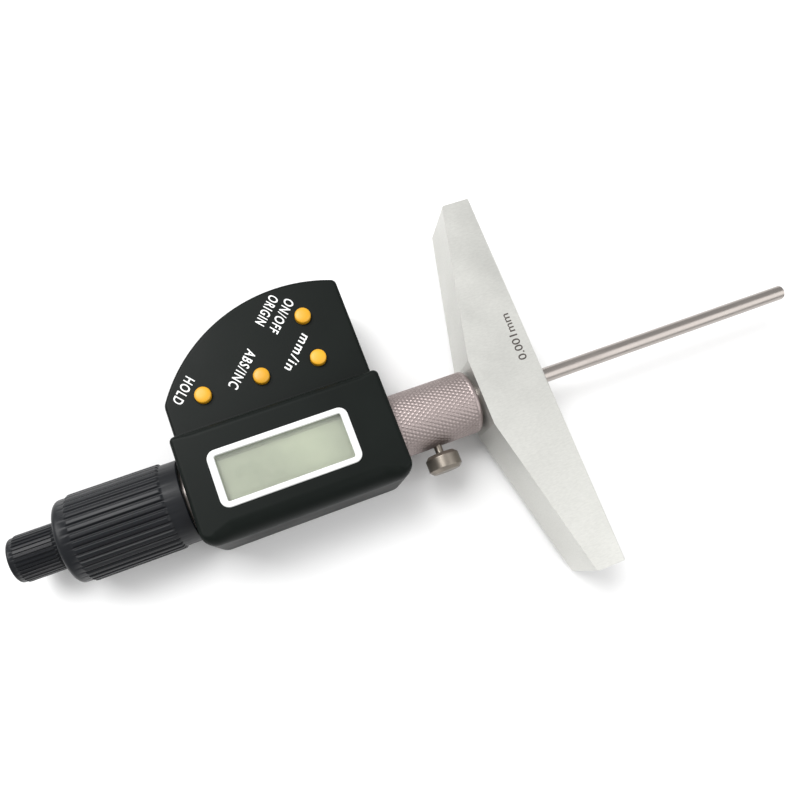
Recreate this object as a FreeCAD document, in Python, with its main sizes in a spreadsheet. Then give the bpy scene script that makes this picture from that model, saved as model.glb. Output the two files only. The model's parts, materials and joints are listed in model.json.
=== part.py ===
import FreeCAD, Part
import os
import re

import Sketcher

# Digital depth micrometer, in millimetres.
# Origin: centre of the measuring face on the spindle axis.
# +X is the way the measuring rod reaches, +Z is the way the display faces, +Y is the side of the key fin.

SIZES = {
    # base bar
    "base_length": 101.5,          # across the axis
    "base_thickness": 16.0,
    "base_depth": 17.4,            # along the axis, at the middle
    "base_end_depth": 7.7,         # along the axis, at the two ends
    "base_boss_width": 17.5,       # flat at the back of the middle
    "base_edge": 0.35,             # chamfer round the measuring face
    "base_corner": 0.6,            # rounding of the end corners
    "tube_seat_depth": 14.4,       # bore that takes the stem tube
    "rod_hole_radius": 2.6,
    # stem tube, grip sleeve and lock
    "stem_radius": 5.0,
    "stem_in_block": 10.9,
    "sleeve_gap": 1.0,
    "sleeve_length": 22.5,
    "sleeve_radius": 8.3,
    "sleeve_chamfer": 1.1,
    "sleeve_rear_chamfer": 0.3,
    "lock_setback": 9.8,           # from the housing's front end to the lock screw
    "lock_pad_radius": 1.0,
    "lock_pad_clearance": 0.1,
    "lock_pad_length": 2.3,
    "lock_thread_radius": 1.25,
    "lock_thread_length": 2.6,
    "lock_neck_radius": 1.05,
    "lock_stand": 2.0,             # head's distance from the grip sleeve
    "lock_head_radius": 4.35,
    "lock_head_height": 4.75,
    "lock_head_chamfer": 0.9,
    # spindle and rod
    "rod_radius": 2.0,
    "rod_reach": 78.5,             # past the measuring face
    "rod_chamfer": 0.3,
    "rod_clearance": 0.05,
    "spindle_radius": 3.175,
    "spindle_setback": 5.0,        # spindle's front end behind the measuring face
    "spindle_plain": 75.5,
    "thread_radius": 3.5,
    "running_clearance": 0.04,
    "fit": 0.02,                   # between seated round pieces
    "travel_back": 25.0,
    "travel_forward": 0.75,
    "keyway_width": 1.0,
    "keyway_depth": 0.6,
    # barrel and nut
    "barrel_radius": 7.5,
    "barrel_bore": 5.6,
    "barrel_end_room": 4.6,        # before the thimble's end wall
    "nut_length": 11.2,
    "nut_flange_radius": 7.0,
    "nut_flange": 1.0,
    "nut_neck_radius": 4.6,
    "nut_neck": 2.2,
    "ring_radius": 6.6,
    "ring_notch": 1.6,
    # thimble
    "thimble_gap": 1.0,
    "thimble_length": 29.4,
    "thimble_radius": 10.3,
    "thimble_bore": 8.0,
    "thimble_end_wall": 3.0,
    "thimble_hub_radius": 5.0,
    "thimble_round": 1.2,
    "thimble_skirt": 4.1,
    "thimble_band": 3.0,
    "thimble_ribs": 38,
    "thimble_rib_height": 0.5,
    "thimble_rib_width": 1.1,
    # rod clamp and ratchet
    "tail_length": 3.4,
    "rod_head_radius": 3.2,
    "rod_head_length": 2.0,
    "rod_nut_length": 1.0,
    "clamp_gap": 0.5,
    "clamp_radius": 4.4,
    "clamp_end": 1.2,
    "knob_gap": 0.8,
    "knob_length": 11.6,
    "knob_radius": 5.45,
    "knob_chamfer": 0.5,
    "knob_end_wall": 1.4,
    "knob_recess": 0.9,
    "knob_band": 0.8,
    "knob_ribs": 36,
    "knob_rib_height": 0.3,
    "knob_rib_width": 0.6,
    "disc_thickness": 0.6,
    "disc_gap": 0.05,
    "screw_head_radius": 2.0,
    "screw_shank_radius": 1.0,
    "screw_hole_clearance": 0.1,
    "washer_thickness": 0.35,
    # housing
    "housing_length": 51.5,
    "housing_front": 12.6,
    "housing_back": 11.2,
    "housing_low": 14.0,
    "housing_high": 13.2,
    "housing_wall": 1.8,
    "cover_depth": 3.0,
    "low_round": 4.6,
    "corner_round": 3.6,
    "side_round": 1.1,
    "back_round": 1.2,
    "step_fillet": 1.2,
    "step_round": 1.8,
    "fin_front": 8.0,
    "fin_back": 4.5,
    "fin_plate": 1.8,
    "fin_wall": 1.6,
    "fin_inset": 0.8,
    "fin_centre_in": 15.1,         # arc's centre behind the housing's front end
    "fin_centre_up": 1.6,
    "fin_left_up": 22.14,          # where the arc meets the rear side
    "fin_right_corner": 1.6,
    "fin_left_corner": 3.0,
    "fin_edge": 0.9,
    "post_radius": 1.9,
    "front_post_in": 5.1,          # behind the housing's front end
    "front_post_up": 28.0,
    "crown_post_in": 21.1,
    "crown_post_rim": 4.6,         # inside the arc
    "rear_post_inset": 4.4,        # inside the fin's rear side
    "rear_post_up": 18.0,
    # frame block and encoder
    "block_inset": 4.2,
    "block_half_width": 9.5,
    "block_top": 7.6,
    "pocket_inset": 21.1,          # encoder pocket behind the housing's front end
    "pocket_length": 16.0,
    "pocket_half_width": 8.6,
    "pocket_floor": 7.4,
    "barrel_in_block": 8.2,
    "spindle_hole_radius": 3.9,
    "stator_radius": 6.9,
    "stator_thickness": 1.6,
    "encoder_gap": 0.4,
    "rotor_radius": 6.8,
    "rotor_thickness": 1.5,
    "bush_length": 13.4,
    "bush_nose_radius": 4.2,
    "bush_radius": 5.2,
    "key_pin_radius": 0.45,
    "key_pin_setback": 8.0,
    # display
    "display_width": 14.0,
    "display_front_margin": 10.5,  # between the display and the housing's ends
    "display_rear_margin": 6.7,
    "bezel_side": 1.75,
    "bezel_rail": 1.45,
    "bezel_corner": 2.2,
    "bezel_proud": 0.3,
    "window_lap": 0.5,
    "window_thickness": 1.2,
    "panel_thickness": 1.8,
    "strip_width": 1.6,
    "board_thickness": 0.8,
    "board_margin": 0.4,
    "link_thickness": 0.6,
    # keys
    "key_radius": 2.0,
    "key_hole_clearance": 0.15,
    "key_height": 1.5,
    "key_dome": 0.45,
    "key_flange_radius": 2.7,
    "key_flange": 0.5,
    "key_column_in": 11.95,        # nearest key column behind the housing's front end
    "key_rear_in": 10.35,          # farthest key column before its rear end
    "key_row_up": 21.5,
    "key_top_rim": 9.54,           # top key inside the arc
    "mat_thickness": 0.4,
    "switch_radius": 1.6,
    "switch_height": 0.6,
    "switch_gap": 0.5,
    "key_board_thickness": 0.8,
    "key_board_margin": 3.2,
    # battery
    "battery_radius": 5.8,
    "battery_height": 5.4,
    "battery_in": 29.1,            # behind the housing's front end
    "battery_rim": 8.537,          # inside the arc
    "contact_thickness": 0.6,
    "cap_radius": 7.0,
    "cap_plug_radius": 6.4,
    "cap_flange": 1.2,
    "cap_slot_width": 1.6,
    "cap_slot_depth": 0.7,
    "cap_slot_length": 10.0,
    # cover screws
    "cover_screw_radius": 0.95,
    "cover_screw_head_radius": 1.9,
    "cover_screw_head": 1.1,
    "cover_screw_sunk": 0.1,
    "cover_screw_reach": 4.0,
    "cover_screw_spacing": 8.0,    # either side of the axis
    "cover_screw_inset": 4.0,      # from the block's ends
}

# Places along the object, each worked out from the sizes and from the places before it.
PLACES = {
    "stem_front": "-(base_depth - tube_seat_depth)",
    "sleeve_front": "-(base_depth + sleeve_gap)",
    "housing_right": "sleeve_front - sleeve_length",
    "housing_left": "housing_right - housing_length",
    "lock_x": "housing_right + lock_setback",
    "block_right": "housing_right - block_inset",
    "block_left": "housing_left + block_inset",
    "stem_rear": "block_right - stem_in_block",
    "pocket_front": "housing_right - pocket_inset",
    "pocket_rear": "pocket_front - pocket_length",
    "barrel_front": "block_left + barrel_in_block",
    "bush_front": "pocket_front - stator_thickness - encoder_gap",
    "key_pin_x": "bush_front - key_pin_setback",
    "thimble_front": "housing_left - thimble_gap",
    "thimble_rear": "thimble_front - thimble_length",
    "barrel_rear": "thimble_rear + thimble_end_wall + barrel_end_room",
    "spindle_rear": "thimble_rear - tail_length",
    "rod_rear": "spindle_rear - rod_head_length - 2 * rod_nut_length",
    "clamp_front": "thimble_rear - clamp_gap",
    "clamp_rear": "rod_rear - clamp_end",
    "knob_front": "thimble_rear - knob_gap",
    "knob_rear": "knob_front - knob_length",
    "knob_inside": "knob_rear + knob_end_wall",
    "driven_front": "clamp_rear - disc_thickness - disc_gap",
    "driven_rear": "driven_front - disc_thickness",
    "knob_bore": "clamp_radius + running_clearance",
    "body_floor": "-(housing_back - cover_depth)",
    "body_roof": "housing_front - housing_wall",
    "fin_floor": "-(fin_back - fin_plate)",
    "fin_roof": "fin_front - fin_wall",
    "fin_right": "housing_right - fin_inset",
    "fin_left": "housing_left + fin_inset",
    "fin_centre": "housing_right - fin_centre_in",
    "fin_radius": "sqrt((fin_centre - fin_left) ^ 2 + (fin_left_up - fin_centre_up) ^ 2)",
    "crown_post_up": "fin_centre_up"
                     " + sqrt((fin_radius - crown_post_rim) ^ 2 - (crown_post_in - fin_centre_in) ^ 2)",
    "display_length": "housing_length - display_front_margin - display_rear_margin",
    "display_x": "housing_right - display_front_margin - display_length / 2",
    "bezel_top": "housing_front + bezel_proud",
    "window_top": "body_roof + window_thickness",
    "panel_floor": "body_roof - panel_thickness",
    "board_top": "block_top + board_thickness",
    "key_column": "housing_right - key_column_in",
    "key_pitch": "(housing_length - key_column_in - key_rear_in) / 2",
    "key_top_up": "fin_centre_up"
                  " + sqrt((fin_radius - key_top_rim) ^ 2 - (key_column_in - fin_centre_in) ^ 2)",
    "mat_floor": "fin_roof - mat_thickness",
    "flange_floor": "mat_floor - key_flange",
    "switch_floor": "flange_floor - switch_gap - switch_height",
    "key_board_floor": "switch_floor - key_board_thickness",
    "battery_x": "housing_right - battery_in",
    "battery_up": "fin_centre_up"
                  " + sqrt((fin_radius - battery_rim) ^ 2 - (battery_in - fin_centre_in) ^ 2)",
    "battery_top": "key_board_floor - contact_thickness",
    "battery_floor": "battery_top - battery_height",
    "lock_pad_tip": "spindle_radius + lock_pad_clearance",
    "lock_tip": "lock_pad_tip + lock_pad_length",
    "lock_head_floor": "sleeve_radius + lock_stand",
}

KEY_PLACES = {
    "key_on_off": ("key_column", "key_top_up"),
    "key_unit": ("key_column", "key_row_up"),
    "key_absolute": ("key_column - key_pitch", "key_row_up"),
    "key_hold": ("key_column - 2 * key_pitch", "key_row_up"),
}
POST_PLACES = (
    ("housing_right - front_post_in", "front_post_up"),
    ("fin_left + rear_post_inset", "rear_post_up"),
    ("housing_right - crown_post_in", "crown_post_up"),
)

doc = FreeCAD.newDocument("depth_micrometer")
sheet = doc.addObject("Spreadsheet::Sheet", "Sizes")
for row, (alias, number) in enumerate(SIZES.items(), 1):
    sheet.set(f"A{row}", alias)
    sheet.set(f"B{row}", str(number))
    sheet.setAlias(f"B{row}", alias)
doc.recompute()


def formula(text):
    """Spell out size and place names as a formula on the sheet."""

    def spell(match):
        word = match.group()
        if word in SIZES:
            return "Sizes." + word
        if word in PLACES:
            return "(" + formula(PLACES[word]) + ")"
        return word

    return re.sub(r"[a-z][a-z_]*", spell, text)


def value(text):
    return float(sheet.evalExpression(formula(text)))


def bind(thing, name, text):
    thing.setExpression(name, formula(text))


def new_body(name, place=("0", "0", "0")):
    body = doc.addObject("PartDesign::Body", name)
    body.Label = name
    for letter, text in zip("xyz", place):
        bind(body, f"Placement.Base.{letter}", text)
    return body


def origin_feature(body, role):
    return next(f for f in body.Origin.OriginFeatures if f.Role == role)


def new_sketch(body, role, height="0"):
    """A sketch on one of the body's planes, moved along the plane's normal."""
    sketch = body.newObject("Sketcher::SketchObject", body.Name + "_sketch")
    sketch.AttachmentSupport = (origin_feature(body, role), [""])
    sketch.MapMode = "FlatFace"
    bind(sketch, "AttachmentOffset.Base.z", height)
    return sketch


def hold_point(sketch, edge, end, across, up):
    """Tie one end (or the centre) of an edge to its two distances from the sketch's origin."""
    for kind, text in (("DistanceX", across), ("DistanceY", up)):
        index = sketch.addConstraint(Sketcher.Constraint(kind, -1, 1, edge, end, value(text)))
        bind(sketch, f"Constraints[{index}]", text)


def draw_polygon(sketch, points):
    first = sketch.GeometryCount
    corners = [FreeCAD.Vector(value(across), value(up), 0) for across, up in points]
    count = len(corners)
    for i in range(count):
        sketch.addGeometry(Part.LineSegment(corners[i], corners[(i + 1) % count]))
    for i in range(count):
        sketch.addConstraint(Sketcher.Constraint("Coincident", first + i, 2, first + (i + 1) % count, 1))
    for i, (across, up) in enumerate(points):
        hold_point(sketch, first + i, 1, across, up)


def draw_rectangle(sketch, left, right, low, high):
    draw_polygon(sketch, [(left, low), (right, low), (right, high), (left, high)])


def draw_circle(sketch, across, up, radius):
    centre = FreeCAD.Vector(value(across), value(up), 0)
    edge = sketch.addGeometry(Part.Circle(centre, FreeCAD.Vector(0, 0, 1), value(radius)))
    hold_point(sketch, edge, 3, across, up)
    index = sketch.addConstraint(Sketcher.Constraint("Radius", edge, value(radius)))
    bind(sketch, f"Constraints[{index}]", radius)


def draw_fin(sketch, low, inset):
    """The fin's outline: straight sides from `low` up to the large arc, all moved in by `inset`."""
    left, right = f"fin_left + {inset}", f"fin_right - {inset}"
    radius = f"fin_radius - {inset}"
    centre = FreeCAD.Vector(value("fin_centre"), value("fin_centre_up"), 0)
    tops = []
    for side in (left, right):
        run = value(side) - centre.x
        tops.append(FreeCAD.Vector(value(side), centre.y + (value(radius) ** 2 - run ** 2) ** 0.5, 0))
    floor = [FreeCAD.Vector(value(side), value(low), 0) for side in (left, right)]
    crown = FreeCAD.Vector(centre.x, centre.y + value(radius), 0)
    sketch.addGeometry(Part.LineSegment(floor[0], floor[1]))
    sketch.addGeometry(Part.LineSegment(floor[1], tops[1]))
    sketch.addGeometry(Part.Arc(tops[1], crown, tops[0]))
    sketch.addGeometry(Part.LineSegment(tops[0], floor[0]))
    for pair in ((0, 2, 1, 1), (1, 2, 2, 1), (2, 2, 3, 1), (3, 2, 0, 1)):
        sketch.addConstraint(Sketcher.Constraint("Coincident", *pair))
    sketch.addConstraint(Sketcher.Constraint("Vertical", 1))
    sketch.addConstraint(Sketcher.Constraint("Vertical", 3))
    hold_point(sketch, 0, 1, left, low)
    hold_point(sketch, 0, 2, right, low)
    hold_point(sketch, 2, 3, "fin_centre", "fin_centre_up")
    index = sketch.addConstraint(Sketcher.Constraint("Radius", 2, value(radius)))
    bind(sketch, f"Constraints[{index}]", radius)


def draw_corner(sketch, across, up, side, rise, radius):
    """What lies between a square corner and the quarter circle that rounds it."""
    run, climb = f"{across} + ({side}) * {radius}", f"{up} + ({rise}) * {radius}"
    corner = FreeCAD.Vector(value(across), value(up), 0)
    centre = FreeCAD.Vector(value(run), value(climb), 0)
    beside = FreeCAD.Vector(centre.x, corner.y, 0)
    above = FreeCAD.Vector(corner.x, centre.y, 0)
    middle = centre + (corner - centre).normalize() * value(radius)
    leftward = side * rise > 0
    start, end = (1, 2) if leftward else (2, 1)
    first = sketch.addGeometry(Part.LineSegment(beside, corner))
    sketch.addGeometry(Part.LineSegment(corner, above))
    sketch.addGeometry(Part.Arc(above, middle, beside) if leftward else Part.Arc(beside, middle, above))
    for pair in ((first, 2, first + 1, 1), (first + 1, 2, first + 2, start), (first + 2, end, first, 1)):
        sketch.addConstraint(Sketcher.Constraint("Coincident", *pair))
    hold_point(sketch, first, 1, run, up)
    hold_point(sketch, first, 2, across, up)
    hold_point(sketch, first + 1, 2, across, climb)
    index = sketch.addConstraint(Sketcher.Constraint("Radius", first + 2, value(radius)))
    bind(sketch, f"Constraints[{index}]", radius)


def add_feature(body, kind, sketch, length, backwards=False):
    """Pad along the sketch's normal, or pocket against it; backwards turns either round."""
    feature = body.newObject("PartDesign::" + kind, f"{body.Name}_{kind.lower()}")
    feature.Profile = sketch
    feature.Reversed = backwards
    bind(feature, "Length", length)
    return feature


def cut_feature(body, sketch, length, backwards=False):
    """A pocket that has to take something away."""
    doc.recompute()
    before = body.Shape.Volume
    feature = add_feature(body, "Pocket", sketch, length, backwards)
    doc.recompute()
    if not body.Shape.Volume < before - 1e-6:
        raise RuntimeError(f"a pocket of {body.Label} cuts nothing")
    return feature


def dress_edges(body, kind, amount, test):
    """Fillet or Chamfer on every edge of the body's last feature that the test picks."""
    doc.recompute()
    base = body.Tip
    names = [f"Edge{i}" for i, edge in enumerate(base.Shape.Edges, 1) if test(edge)]
    if not names:
        raise RuntimeError(f"no edge of {body.Label} to {kind.lower()}")
    feature = body.newObject("PartDesign::" + kind, f"{body.Name}_{kind.lower()}")
    feature.Base = (base, names)
    bind(feature, "Radius" if kind == "Fillet" else "Size", amount)
    doc.recompute()
    if feature.Shape.isNull() or not feature.Shape.isValid():
        raise RuntimeError(f"a {kind.lower()} of {body.Label} by {amount} fails")
    return feature


def repeat_round(body, feature, axis_role, count):
    pattern = body.newObject("PartDesign::PolarPattern", body.Name + "_pattern")
    pattern.Originals = [feature]
    pattern.Axis = (origin_feature(body, axis_role), [""])
    pattern.Angle = 360
    bind(pattern, "Occurrences", count)
    body.Tip = pattern
    return pattern


def edge_at(**wanted):
    """A test for edges whose every point has the given x, y or z."""
    numbers = {letter: value(text) for letter, text in wanted.items()}

    def test(edge):
        points = [vertex.Point for vertex in edge.Vertexes] + [edge.CenterOfMass]
        return all(abs(getattr(point, axis) - number) < 1e-3
                   for point in points for axis, number in numbers.items())

    return test


def ring_edge(x, radius):
    """A test for full circles round the axis, at x in the body's own frame."""
    place, size = value(x), value(radius)

    def test(edge):
        curve = edge.Curve
        if not isinstance(curve, Part.Circle):
            return False
        return abs(curve.Radius - size) < 1e-3 and abs(curve.Center.x - place) < 1e-3

    return test


def turned(name, profile, along="x", place=("0", "0", "0")):
    """A body turned about its own X, Y or Z axis from (distance along the axis, radius) points."""
    body = new_body(name, place)
    sketch = new_sketch(body, "XZ_Plane" if along == "z" else "XY_Plane")
    draw_polygon(sketch, profile if along == "x" else [(radius, reach) for reach, radius in profile])
    feature = body.newObject("PartDesign::Revolution", name + "_revolution")
    feature.Profile = sketch
    feature.ReferenceAxis = (sketch, ["H_Axis" if along == "x" else "V_Axis"])
    feature.Angle = 360
    return body


def ring_profile(front, rear, inner, outer):
    return [(front, inner), (front, outer), (rear, outer), (rear, inner)]


def slab(name, left, right, low, high, floor, roof):
    body = new_body(name)
    sketch = new_sketch(body, "XY_Plane", floor)
    draw_rectangle(sketch, left, right, low, high)
    add_feature(body, "Pad", sketch, f"{roof} - ({floor})")
    return body


def group(name, pieces):
    """Like pieces that share one node, each a solid of its own."""
    compound = doc.addObject("Part::Compound", name)
    compound.Label = name
    compound.Links = pieces
    return compound


def make_base():
    base = new_body("base")
    sketch = new_sketch(base, "XY_Plane", "-base_thickness / 2")
    draw_polygon(sketch, [
        ("0", "-base_length / 2"),
        ("0", "base_length / 2"),
        ("-base_end_depth", "base_length / 2"),
        ("-base_depth", "base_boss_width / 2"),
        ("-base_depth", "-base_boss_width / 2"),
        ("-base_end_depth", "-base_length / 2"),
    ])
    add_feature(base, "Pad", sketch, "base_thickness")
    ends = value("base_length / 2")
    middle = value("-base_end_depth / 2")
    dress_edges(base, "Fillet", "base_corner",
                lambda e: abs(abs(e.CenterOfMass.y) - ends) < 1e-3 and e.CenterOfMass.x < middle and
                abs(e.CenterOfMass.z) < 1e-3)
    dress_edges(base, "Chamfer", "base_edge", edge_at(x="0"))
    rod_hole = new_sketch(base, "YZ_Plane")
    draw_circle(rod_hole, "0", "0", "rod_hole_radius")
    cut_feature(base, rod_hole, "base_depth")
    seat = new_sketch(base, "YZ_Plane", "-base_depth")
    draw_circle(seat, "0", "0", "stem_radius + fit")
    cut_feature(base, seat, "tube_seat_depth", backwards=True)
    return base


def cut_lock_hole(body, radius):
    """A hole from the axis out through the lock's side of a tube."""
    hole = new_sketch(body, "XZ_Plane")
    draw_circle(hole, "lock_x", "0", radius)
    cut_feature(body, hole, "sleeve_radius + fit", backwards=True)


def make_stem_and_sleeve():
    stem = turned("stem_tube", ring_profile("stem_front", "stem_rear",
                                            "spindle_radius + running_clearance", "stem_radius"))
    cut_lock_hole(stem, "lock_pad_radius + running_clearance")
    sleeve = turned("grip_sleeve", [
        ("sleeve_front", "stem_radius + fit"),
        ("sleeve_front", "sleeve_radius - sleeve_chamfer"),
        ("sleeve_front - sleeve_chamfer", "sleeve_radius"),
        ("housing_right + sleeve_rear_chamfer", "sleeve_radius"),
        ("housing_right", "sleeve_radius - sleeve_rear_chamfer"),
        ("housing_right", "stem_radius + fit"),
    ])
    cut_lock_hole(sleeve, "lock_thread_radius + running_clearance")
    return stem, sleeve


def make_lock():
    pad = turned("lock_pad", [("-lock_pad_tip", "0"), ("-lock_pad_tip", "lock_pad_radius"),
                              ("-lock_tip", "lock_pad_radius"), ("-lock_tip", "0")],
                 "y", ("lock_x", "0", "0"))
    head_end = "-(lock_head_floor + lock_head_height)"
    thread_end = "-(lock_tip + lock_thread_length)"
    screw = turned("lock_screw", [
        ("-lock_tip", "0"),
        ("-lock_tip", "lock_thread_radius"),
        (thread_end, "lock_thread_radius"),
        (thread_end, "lock_neck_radius"),
        ("-lock_head_floor", "lock_neck_radius"),
        ("-lock_head_floor", "lock_head_radius - lock_head_chamfer"),
        ("-(lock_head_floor + lock_head_chamfer)", "lock_head_radius"),
        (head_end + " + lock_head_chamfer", "lock_head_radius"),
        (head_end, "lock_head_radius - lock_head_chamfer"),
        (head_end, "0"),
    ], "y", ("lock_x", "0", "0"))
    return pad, screw


def bore_block(block, place, depth, radius, backwards=False):
    sketch = new_sketch(block, "YZ_Plane", place)
    draw_circle(sketch, "0", "0", radius)
    cut_feature(block, sketch, depth, backwards)


def cover_screw_places():
    for x in ("block_left + cover_screw_inset", "block_right - cover_screw_inset"):
        for y in ("-cover_screw_spacing", "cover_screw_spacing"):
            yield x, y


def make_frame_block():
    block = slab("frame_block", "block_left", "block_right", "-block_half_width", "block_half_width",
                 "body_floor", "block_top")
    pocket = new_sketch(block, "XY_Plane", "block_top")
    draw_rectangle(pocket, "pocket_rear", "pocket_front", "-pocket_half_width", "pocket_half_width")
    cut_feature(block, pocket, "block_top + pocket_floor")
    bore_block(block, "block_right", "block_right - block_left", "spindle_hole_radius")
    bore_block(block, "block_right", "stem_in_block", "stem_radius + fit")
    bore_block(block, "block_left", "barrel_in_block", "barrel_radius + fit", backwards=True)
    holes = new_sketch(block, "XY_Plane", "body_floor")
    for x, y in cover_screw_places():
        draw_circle(holes, x, y, "cover_screw_radius + running_clearance")
    cut_feature(block, holes, "cover_screw_reach - running_clearance", backwards=True)
    return block


def make_barrel_and_nuts():
    barrel = turned("barrel", ring_profile("barrel_front", "barrel_rear", "barrel_bore", "barrel_radius"))
    place = ("barrel_rear", "0", "0")
    thread = "thread_radius + running_clearance"
    neck_end = "-(nut_flange + nut_neck)"
    nut = turned("spindle_nut", [
        ("nut_length", thread),
        ("nut_length", "barrel_bore - fit"),
        ("0", "barrel_bore - fit"),
        ("0", "nut_flange_radius"),
        ("-nut_flange", "nut_flange_radius"),
        ("-nut_flange", "nut_neck_radius"),
        (neck_end, "nut_neck_radius"),
        (neck_end, thread),
    ], "x", place)
    ring = turned("adjusting_nut",
                  ring_profile("-nut_flange", neck_end, "nut_neck_radius + fit", "ring_radius"), "x", place)
    notch = new_sketch(ring, "YZ_Plane", "-nut_flange")
    draw_rectangle(notch, "-ring_notch / 2", "ring_notch / 2", "ring_radius - ring_notch / 2",
                   "ring_radius + ring_notch / 2")
    repeat_round(ring, cut_feature(ring, notch, "nut_neck"), "X_Axis", "4")
    return barrel, nut, ring


def make_encoder():
    stator_ring = ring_profile("0", "-stator_thickness", "spindle_hole_radius", "stator_radius")
    stator = turned("encoder_stator", stator_ring, "x", ("pocket_front", "0", "0"))
    place = ("bush_front", "0", "0")
    rotor_ring = ring_profile("0", "-rotor_thickness", "bush_nose_radius + fit", "rotor_radius")
    rotor = turned("encoder_rotor", rotor_ring, "x", place)
    bore = "spindle_radius + running_clearance"
    bush = turned("rotor_bush", [
        ("0", bore),
        ("0", "bush_nose_radius"),
        ("-rotor_thickness", "bush_nose_radius"),
        ("-rotor_thickness", "bush_radius"),
        ("-bush_length", "bush_radius"),
        ("-bush_length", bore),
    ], "x", place)
    hole = new_sketch(bush, "XY_Plane", "0")
    draw_circle(hole, "-key_pin_setback", "0", "key_pin_radius + fit")
    cut_feature(bush, hole, "bush_radius", backwards=True)
    key_foot = "spindle_radius - keyway_depth + running_clearance"
    key = turned("rotor_key", [(key_foot, "0"), (key_foot, "key_pin_radius"),
                               ("bush_radius", "key_pin_radius"), ("bush_radius", "0")],
                 "z", ("key_pin_x", "0", "0"))
    return stator, rotor, bush, key


def make_spindle():
    front = "-spindle_setback"
    step = f"{front} - spindle_plain"
    bore = "rod_radius + rod_clearance"
    spindle = turned("spindle", [
        (front, bore),
        (front, "spindle_radius - rod_chamfer"),
        (front + " - rod_chamfer", "spindle_radius"),
        (step, "spindle_radius"),
        (step, "thread_radius"),
        ("spindle_rear", "thread_radius"),
        ("spindle_rear", bore),
    ])
    keyway = new_sketch(spindle, "XY_Plane", "spindle_radius - keyway_depth")
    keyway_rear = "key_pin_x - travel_forward - keyway_width"
    keyway_front = "key_pin_x + travel_back + keyway_width"
    draw_rectangle(keyway, keyway_rear, keyway_front, "-keyway_width / 2", "keyway_width / 2")
    cut_feature(spindle, keyway, "thread_radius", backwards=True)
    return spindle


def make_rod():
    head_rear = "spindle_rear - rod_head_length"
    rod = turned("measuring_rod", [
        ("rod_reach", "0"),
        ("rod_reach", "rod_radius - rod_chamfer"),
        ("rod_reach - rod_chamfer", "rod_radius"),
        ("spindle_rear", "rod_radius"),
        ("spindle_rear", "rod_head_radius"),
        (head_rear, "rod_head_radius"),
        (head_rear, "rod_radius"),
        ("rod_rear", "rod_radius"),
        ("rod_rear", "0"),
    ])
    rings = []
    for i in range(2):
        near = f"{head_rear} - {i} * rod_nut_length"
        rings.append(turned(f"rod_nut_{i}", ring_profile(near, near + " - rod_nut_length",
                                                         "rod_radius + fit", "rod_head_radius")))
    return rod, group("rod_nuts", rings)


def add_ribs(body, start, length, radius, height, width, count):
    """Rounded ridges along a turned grip: one padded ridge, repeated round the axis."""
    ridge = new_sketch(body, "YZ_Plane", start)
    root = f"{radius} - {height} / 2"
    draw_polygon(ridge, [
        (f"-{width} / 2", root),
        (f"-{width} / 2", f"{radius} + 0.35 * {height}"),
        (f"-0.3 * {width}", f"{radius} + {height}"),
        (f"0.3 * {width}", f"{radius} + {height}"),
        (f"{width} / 2", f"{radius} + 0.35 * {height}"),
        (f"{width} / 2", root),
    ])
    doc.recompute()
    pad = add_feature(body, "Pad", ridge, length, backwards=True)
    doc.recompute()
    repeat_round(body, pad, "X_Axis", count)


def make_thimble():
    wall_face = "-thimble_length + thimble_end_wall"
    thimble = turned("thimble", [
        ("0", "thimble_bore"),
        ("0", "thimble_radius"),
        ("-thimble_length", "thimble_radius"),
        ("-thimble_length", "thimble_hub_radius"),
        (wall_face, "thimble_hub_radius"),
        (wall_face, "thimble_bore"),
    ], "x", ("thimble_front", "0", "0"))
    dress_edges(thimble, "Fillet", "thimble_round", ring_edge("-thimble_length", "thimble_radius"))
    dress_edges(thimble, "Chamfer", "thimble_rib_height / 2", ring_edge("0", "thimble_radius"))
    add_ribs(thimble, "-thimble_skirt", "thimble_length - thimble_skirt - thimble_band", "thimble_radius",
             "thimble_rib_height", "thimble_rib_width", "thimble_ribs")
    bushing = turned("thimble_bushing", ring_profile("0", "thimble_end_wall", "thread_radius + fit",
                                                     "thimble_hub_radius - fit"),
                     "x", ("thimble_rear", "0", "0"))
    return thimble, bushing


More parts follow.
